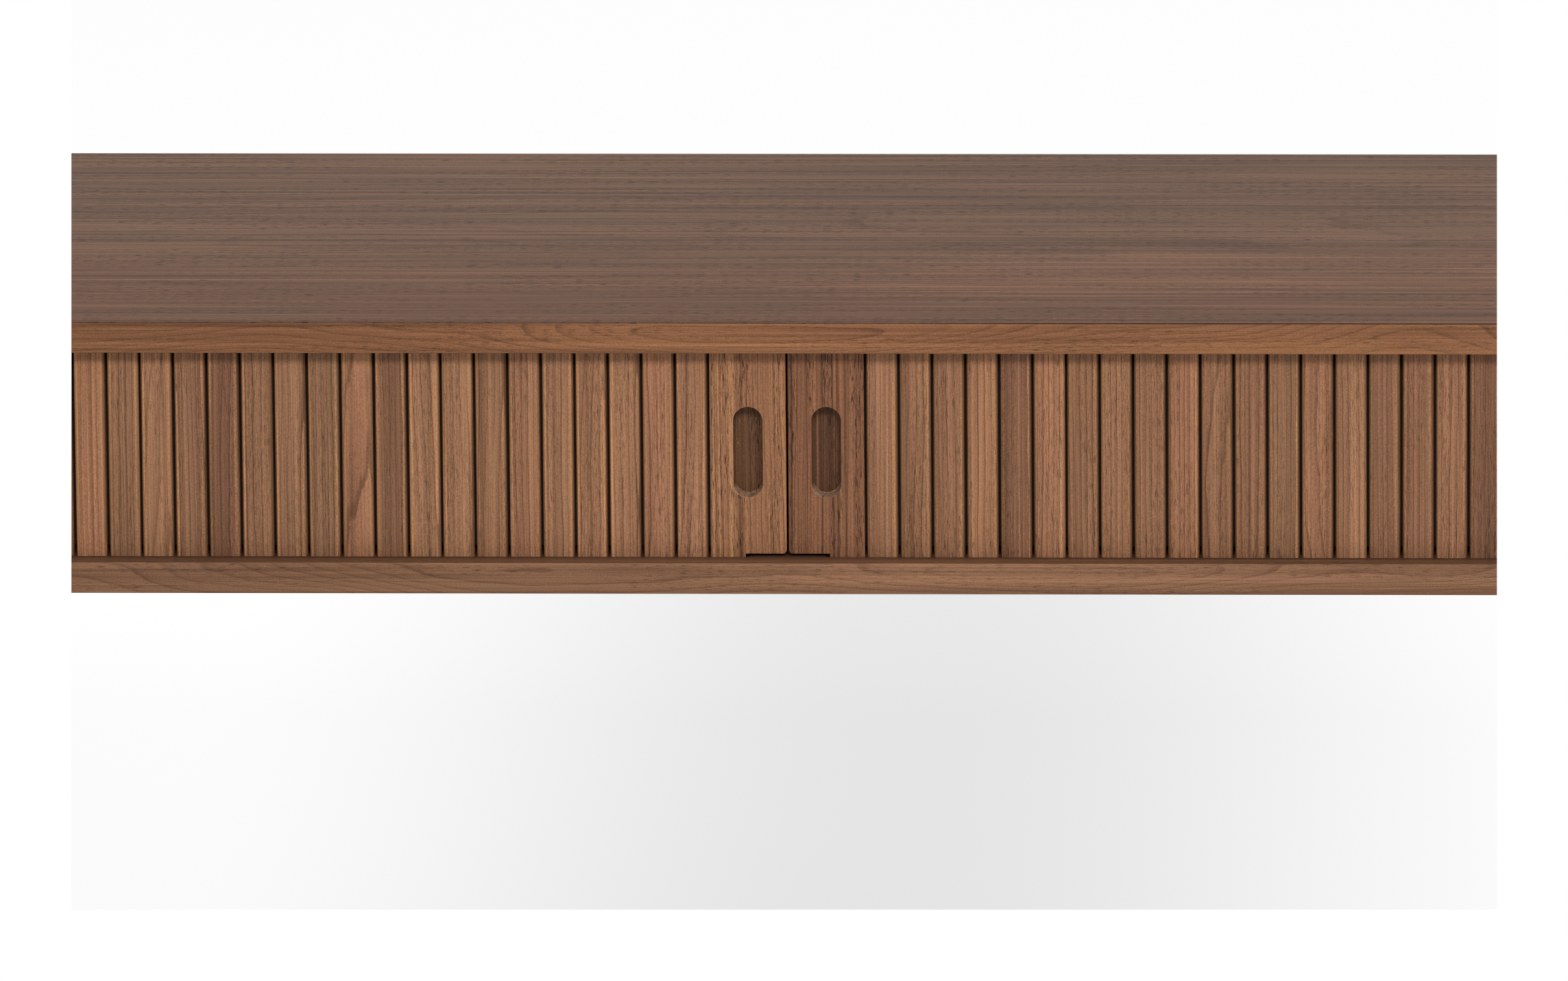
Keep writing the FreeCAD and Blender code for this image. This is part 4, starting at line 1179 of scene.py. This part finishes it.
@dataclass
class Woodwork:
    """Every solid of the frame that keeps its own shape and gets its walnut, metal or felt."""

    shop: Workshop
    pull: Pull = Pull()

    top: Walnut = Walnut(
        "crown-cut walnut veneer", Grain.LONG, ink(124, 84, 59), ink(82, 52, 36), ink(158, 117, 84),
        heart=(0.3, 0.05, -0.33), ring_spacing=0.0052, wander=0.05, rings=0.42, streaks=0.66, fibres=1.4,
        pores=0.90, patches=0.52, fineness=1.9, gloss=0.50, shine=0.10, relief=0.25, edge=0.0,
        glue_line=-0.25, painted_rear_sheen=ink(132, 97, 75))
    edging: Walnut = Walnut(
        "solid walnut edging", Grain.LONG, ink(134, 91, 62), ink(86, 55, 37), ink(166, 115, 77),
        heart=(0.9, 0.219, -0.768), ring_spacing=0.0036, wander=0.095, rings=0.62, streaks=0.62, fibres=0.70,
        pores=0.45, patches=0.42, edge=0.12, fineness=1.3)
    foot_edging: Walnut = Walnut(
        "solid walnut edging, paler", Grain.LONG, ink(133, 96, 71), ink(90, 61, 44), ink(161, 118, 88),
        heart=(1.9, 0.220, -0.580), ring_spacing=0.0036, wander=0.095, rings=0.66, streaks=0.58, fibres=0.70,
        pores=0.45, patches=0.38, edge=0.04, fineness=1.3, settled=0.28)
    side_edging: Walnut = Walnut(
        "solid walnut edging across the ends", Grain.DEEP, ink(136, 96, 68), ink(90, 58, 40),
        ink(170, 121, 84), heart=(0.7, 0.3, -0.7), ring_spacing=0.0056, wander=0.10, rings=0.55, streaks=0.45)
    # The board's dark colour is partly painted shade, for the strip in front of the slats, and partly its
    # darker finish.
    board: Walnut = Walnut(
        "walnut-faced board", Grain.LONG, ink(94, 64, 46), ink(66, 44, 31), ink(118, 84, 61),
        heart=(1.4, 0.02, -0.61), ring_spacing=0.0050, wander=0.05, rings=0.35, streaks=0.5, fibres=0.4,
        settled=0.15)
    carcass: Walnut = Walnut(
        "upright walnut panel", Grain.UPRIGHT, ink(134, 95, 68), ink(90, 60, 43), ink(164, 119, 86),
        heart=(0.2, 0.75, 0.12), ring_spacing=0.0065, wander=0.09, rings=0.5, streaks=0.45, patches=0.35)
    rear: Walnut = Walnut(
        "walnut-faced back panel", Grain.LONG, ink(122, 88, 66), ink(86, 60, 45), ink(150, 110, 82),
        heart=(0.8, -0.10, -0.51), ring_spacing=0.0055, wander=0.09, rings=0.4, streaks=0.5)
    inside: Walnut = Walnut(
        "oiled inner panel", Grain.UPRIGHT, ink(150, 116, 88), ink(116, 86, 63), ink(176, 142, 110),
        heart=(0.5, 0.12, 0.4), ring_spacing=0.006, wander=0.06, rings=0.35, streaks=0.4, edge=0.15)
    leg: Walnut = Walnut(
        "solid walnut leg", Grain.UPRIGHT, ink(132, 92, 65), ink(86, 55, 39), ink(166, 118, 82),
        heart=(0.2, -0.59, 0.25), ring_spacing=0.0045, wander=0.04, rings=0.5, streaks=0.5, edge=0.25)
    rail: Walnut = Walnut(
        "solid walnut rail", Grain.DEEP, ink(130, 91, 65), ink(86, 56, 40), ink(162, 116, 82),
        heart=(0.6, -0.60, -0.47), ring_spacing=0.0050, wander=0.06, rings=0.5, streaks=0.5, edge=0.25)
    dowel: Walnut = Walnut(
        "beech dowel", Grain.UPRIGHT, ink(196, 158, 116), ink(166, 126, 88), ink(214, 182, 142),
        rings=0.3, streaks=0.3, edge=0.0)
    left_stile: Walnut = Walnut(
        "straight-grained walnut, pale", Grain.UPRIGHT, ink(152, 106, 75), ink(80, 52, 36), ink(184, 134, 94),
        heart=(0.3, 0.235, 0.235), ring_spacing=0.0042, wander=0.035, rings=0.78, streaks=0.90, fibres=0.80,
        pores=0.80, patches=0.42, edge=0.30, edge_reach=0.0012, fineness=1.8)
    right_stile: Walnut = Walnut(
        "straight-grained walnut, red", Grain.UPRIGHT, ink(128, 86, 61), ink(66, 44, 31), ink(150, 106, 76),
        heart=(1.1, -0.16, 0.245), ring_spacing=0.0030, wander=0.030, rings=0.66, streaks=0.82, fibres=0.85,
        pores=0.90, patches=0.34, edge=0.30, edge_reach=0.0012, fineness=2.2)
    strip: Walnut = Walnut(
        "walnut clamping strip", Grain.UPRIGHT, ink(128, 90, 65), ink(90, 60, 44), ink(156, 114, 82))
    corner_slats: Walnut = Walnut(
        "walnut slat in the bend", Grain.UPRIGHT, ink(140, 99, 71), ink(98, 66, 47), ink(166, 120, 85))
    steel: Metal = Metal("zinc-plated steel", ink(176, 178, 180), ink(138, 140, 142), 0.34)
    brass: Metal = Metal("threaded brass", ink(196, 160, 96), ink(150, 116, 66), 0.36)
    pad: Felt = Felt("grey glide felt", ink(74, 70, 66), ink(104, 99, 94))

    def boards(self) -> dict[str, Walnut]:
        """Which wood each solid gets, apart from the lead stiles.

        Returns:
            The woods by the solids' names.
        """
        woods = {
            "top_veneer": self.top, "top_front_lipping": self.edging, "top_back_lipping": self.edging,
            "bottom_front_lipping": self.foot_edging, "bottom_back_lipping": self.foot_edging,
            "top_core": self.board, "bottom_core": self.board, "back_panel": self.rear,
            "side_dowels": self.dowel}
        for side in Side:
            word = side.word
            woods.update({
                f"top_{word}_lipping": self.side_edging, f"bottom_{word}_lipping": self.side_edging,
                f"{word}_side_panel": self.carcass, f"{word}_front_post": self.carcass,
                f"{word}_liner": self.inside, f"{word}_divider": self.inside,
                f"{word}_canvas_strip": self.strip, f"{word}_corner_slats": self.corner_slats,
                f"front_{word}_leg": self.leg, f"back_{word}_leg": self.leg, f"{word}_leg_rail": self.rail})
        woods["false_back"] = self.inside
        return woods

    def build(self) -> None:
        """Dresses the solids, one by one."""
        for node, wood in self.boards().items():
            self.shop.dress(node, self.shop.walnut(wood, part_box(node), node.replace("_", " ")))
        for side, wood in ((Side.LEFT, self.left_stile), (Side.RIGHT, self.right_stile)):
            node = f"{side.word}_lead_stile"
            middle = (side.value * self.pull.middle[0], *self.pull.middle[1:])
            self.shop.dress(node, self.shop.stile_walnut(
                wood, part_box(node), node.replace("_", " "), self.pull, middle))
        self.shop.dress("rail_bolts", self.shop.metal(self.steel))
        self.shop.dress("rail_inserts", self.shop.metal(self.brass))
        self.shop.dress("leg_glides", self.shop.felt(self.pad))


# ---------------------------------------------------------------- room and camera


@dataclass(frozen=True)
class Softbox:
    """A rectangular lamp."""

    name: str
    place: Point
    aim: Point
    size: Span
    watts: float

    def build(self) -> None:
        """Hangs the lamp and turns it towards its aim."""
        data = bpy.data.lights.new(self.name, "AREA")
        data.shape = "RECTANGLE"
        data.size, data.size_y = self.size
        data.energy = self.watts
        lamp = stand(self.name, data)
        lamp.location = self.place
        lamp.rotation_euler = (Vector(self.aim) - Vector(self.place)).to_track_quat("-Z", "Y").to_euler()


@dataclass
class Room:
    """The pale floor, the light and the world. None of it is part of the desk.

    The pairs say where the floor's soft shade behind the desk is nothing and where it is full: to both sides
    of shade_x, towards the back and towards the front.
    """

    half: float = 60.0
    fade_from: float = 4.0
    fade_to: float = 9.0
    world_light: float = 0.24
    tint: float = 0.93
    seen_tint: float = 0.30
    lift: float = 0.89
    shade: float = 0.19
    shade_x: float = 0.05
    shade_aside: Span = (0.60, 0.02)
    shade_back: Span = (2.9, 2.2)
    shade_front: Span = (-0.6, 0.4)
    lamps: tuple[Softbox, ...] = (
        Softbox("front softbox", (0.4, -3.65, 3.05), (0.0, -0.2, 0.65), (2.4, 0.7), 101.0),
        Softbox("side softbox", (3.2, -1.6, 1.5), (0.0, -0.1, 0.65), (1.2, 1.2), 30.0))

    def build(self) -> None:
        """Makes the floor, the world and the lamps."""
        self.floor()
        self.world()
        for lamp in self.lamps:
            lamp.build()
        bpy.context.scene.view_settings.view_transform = "Standard"
        log.info("room: floor, world and %d softboxes", len(self.lamps))

    def floor(self) -> None:
        """The floor, white, a little shaded behind the desk's middle, and one with the world far away."""
        mesh = bpy.data.meshes.new("studio_floor")
        size = self.half
        mesh.from_pydata([(-size, -size, 0), (size, -size, 0), (size, size, 0), (-size, size, 0)], [],
                         [(0, 1, 2, 3)])
        piece = stand("studio_floor", mesh)
        made, bench, out = Workshop.blank("studio floor")
        x, y, _ = bench.parts(bench.place())
        # painted shade: the floor's white is lowered behind the desk's middle
        middle = bench.step(bench.maths("ABSOLUTE", bench.minus(x, self.shade_x)), *self.shade_aside)
        behind = bench.times(bench.step(y, *self.shade_back), bench.step(y, *self.shade_front))
        lift = bench.scaled(bench.times(middle, behind), -self.shade, self.lift)
        seen = bench.seen()
        tint = bench.scaled(seen, self.seen_tint - self.tint, self.tint)
        grey = bench.joined(tint, tint, tint)
        paint = bench.node("ShaderNodeBsdfDiffuse", None, {"Color": grey}).outputs[0]
        near = bench.node("ShaderNodeAddShader", None, {
            0: paint, 1: bench.white("Emission", bench.times(lift, seen))}).outputs[0]
        away = bench.step(bench.length(x, y), self.fade_from, self.fade_to)
        bench.send(out, bench.node("ShaderNodeMixShader", None, {
            0: away, 1: near, 2: bench.white("Emission", 1.0)}).outputs[0])
        mesh.materials.append(made)

    def world(self) -> None:
        """Even light from all round, and white where the camera or a reflection sees past the floor."""
        made = bpy.data.worlds.new("studio")
        made.use_nodes = True
        made.node_tree.nodes.clear()
        bench = Bench(made.node_tree)
        both = bench.node("ShaderNodeMixShader", None, {
            0: bench.seen(), 1: bench.white("Background", self.world_light),
            2: bench.white("Background", 1.0)}).outputs[0]
        bench.send(bench.node("ShaderNodeOutputWorld"), both)
        bpy.context.scene.world = made


@dataclass
class PageMat:
    """A white mat close to the lens, which leaves the view a white margin at both sides and below.

    Its inner edges are given in pixels of the view, and it reaches beyond the view all round.
    """

    away: float = 0.3
    left: float = 110.0
    right: float = 2307.5
    foot: float = 1402.0
    beyond: float = 200.0

    def build(self, camera: bpy.types.Object, focus_length: float) -> None:
        """Hangs the mat in front of the camera.

        Args:
            camera: the camera.
            focus_length: its focus length in pixels of the view.
        """
        pixel = self.away / focus_length
        columns = (-self.beyond, self.left, self.right, VIEW_WIDE + self.beyond)
        rows = (-self.beyond, self.foot, VIEW_HIGH + self.beyond)
        mesh = bpy.data.meshes.new("page_mat")
        corners = [camera.matrix_world @ Vector((
            (column - VIEW_WIDE / 2) * pixel, (VIEW_HIGH / 2 - row) * pixel, -self.away))
            for row in rows for column in columns]
        mesh.from_pydata(corners, [], [
            (0, 4, 5, 1), (2, 6, 7, 3), (4, 8, 9, 5), (5, 9, 10, 6), (6, 10, 11, 7)])
        made, bench, out = Workshop.blank("white page")
        bench.send(out, bench.white("Emission", 1.0))
        mesh.materials.append(made)
        stand("page_mat", mesh)


@dataclass
class Camera:
    """A long lens, a little above the worktop and a touch to its right, with its angles in degrees."""

    away: float = 16.0
    pitch: float = 15.455
    roll: float = -0.474
    yaw: float = -2.101
    focus_length: float = 33021.5
    sensor: float = 36.0
    clip: Span = (0.002, 200.0)
    aim: Point = (-0.0025, -0.232, 0.6255)

    def build(self) -> bpy.types.Object:
        """Sets the camera up.

        Returns:
            The camera.
        """
        pitch, roll, yaw = (math.radians(value) for value in (self.pitch, self.roll, self.yaw))
        look = Vector((math.sin(yaw) * math.cos(pitch), math.cos(yaw) * math.cos(pitch), -math.sin(pitch)))
        right = look.cross(Vector((0, 0, 1))).normalized()
        up = right.cross(look)
        turned = right * math.cos(roll) + up * math.sin(roll)
        raised = -right * math.sin(roll) + up * math.cos(roll)
        data = bpy.data.cameras.new("camera")
        data.sensor_width = self.sensor
        data.lens = self.focus_length / VIEW_WIDE * self.sensor
        data.clip_start, data.clip_end = self.clip
        camera = stand("camera", data)
        spot = Vector(self.aim) - look * self.away
        basis = Matrix((turned, raised, -look)).transposed().to_4x4()
        camera.matrix_world = Matrix.Translation(spot) @ basis
        bpy.context.scene.camera = camera
        log.info("camera: %.0f mm lens, %.1f m away", data.lens, self.away)
        return camera


SLAT_WALNUT = Walnut(
    "round-edged walnut slats", Grain.UPRIGHT, ink(144, 103, 77), ink(90, 60, 42), ink(180, 132, 96),
    heart=(0.0, 0.075, 0.105), ring_spacing=0.0027, wander=0.052, rings=0.82, streaks=0.42, fibres=0.85,
    pores=0.50, patches=0.40, fineness=1.35)
SLAT_TONES = (
    (0.0, ink(104, 74, 55)), (0.14, ink(127, 88, 66)), (0.34, ink(150, 107, 78)), (0.52, ink(159, 111, 82)),
    (0.70, ink(140, 102, 75)), (0.86, ink(160, 114, 83)), (1.0, ink(172, 119, 86)))
CANVAS = Cloth("dark cotton canvas", ink(52, 44, 38), ink(24, 20, 17))
SLAT_SEEDS = {Side.LEFT: 11, Side.RIGHT: 23}


def main() -> None:
    """Builds the desk's looks, then the room and the camera."""
    logging.basicConfig(level=logging.INFO, format="%(name)s: %(message)s")
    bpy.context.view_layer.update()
    shop = Workshop(SharedEffects())
    slat_material = shop.slat_walnut(SLAT_WALNUT, SLAT_TONES, SlatEdge())
    cloth_material = shop.cloth(CANVAS)
    for side, seed in SLAT_SEEDS.items():
        SlatDoor(side, seed).build(slat_material)
        Canvas(side).build(cloth_material)
    Woodwork(shop).build()
    Room().build()
    lens = Camera()
    PageMat().build(lens.build(), lens.focus_length)


if __name__ == "__main__":
    main()
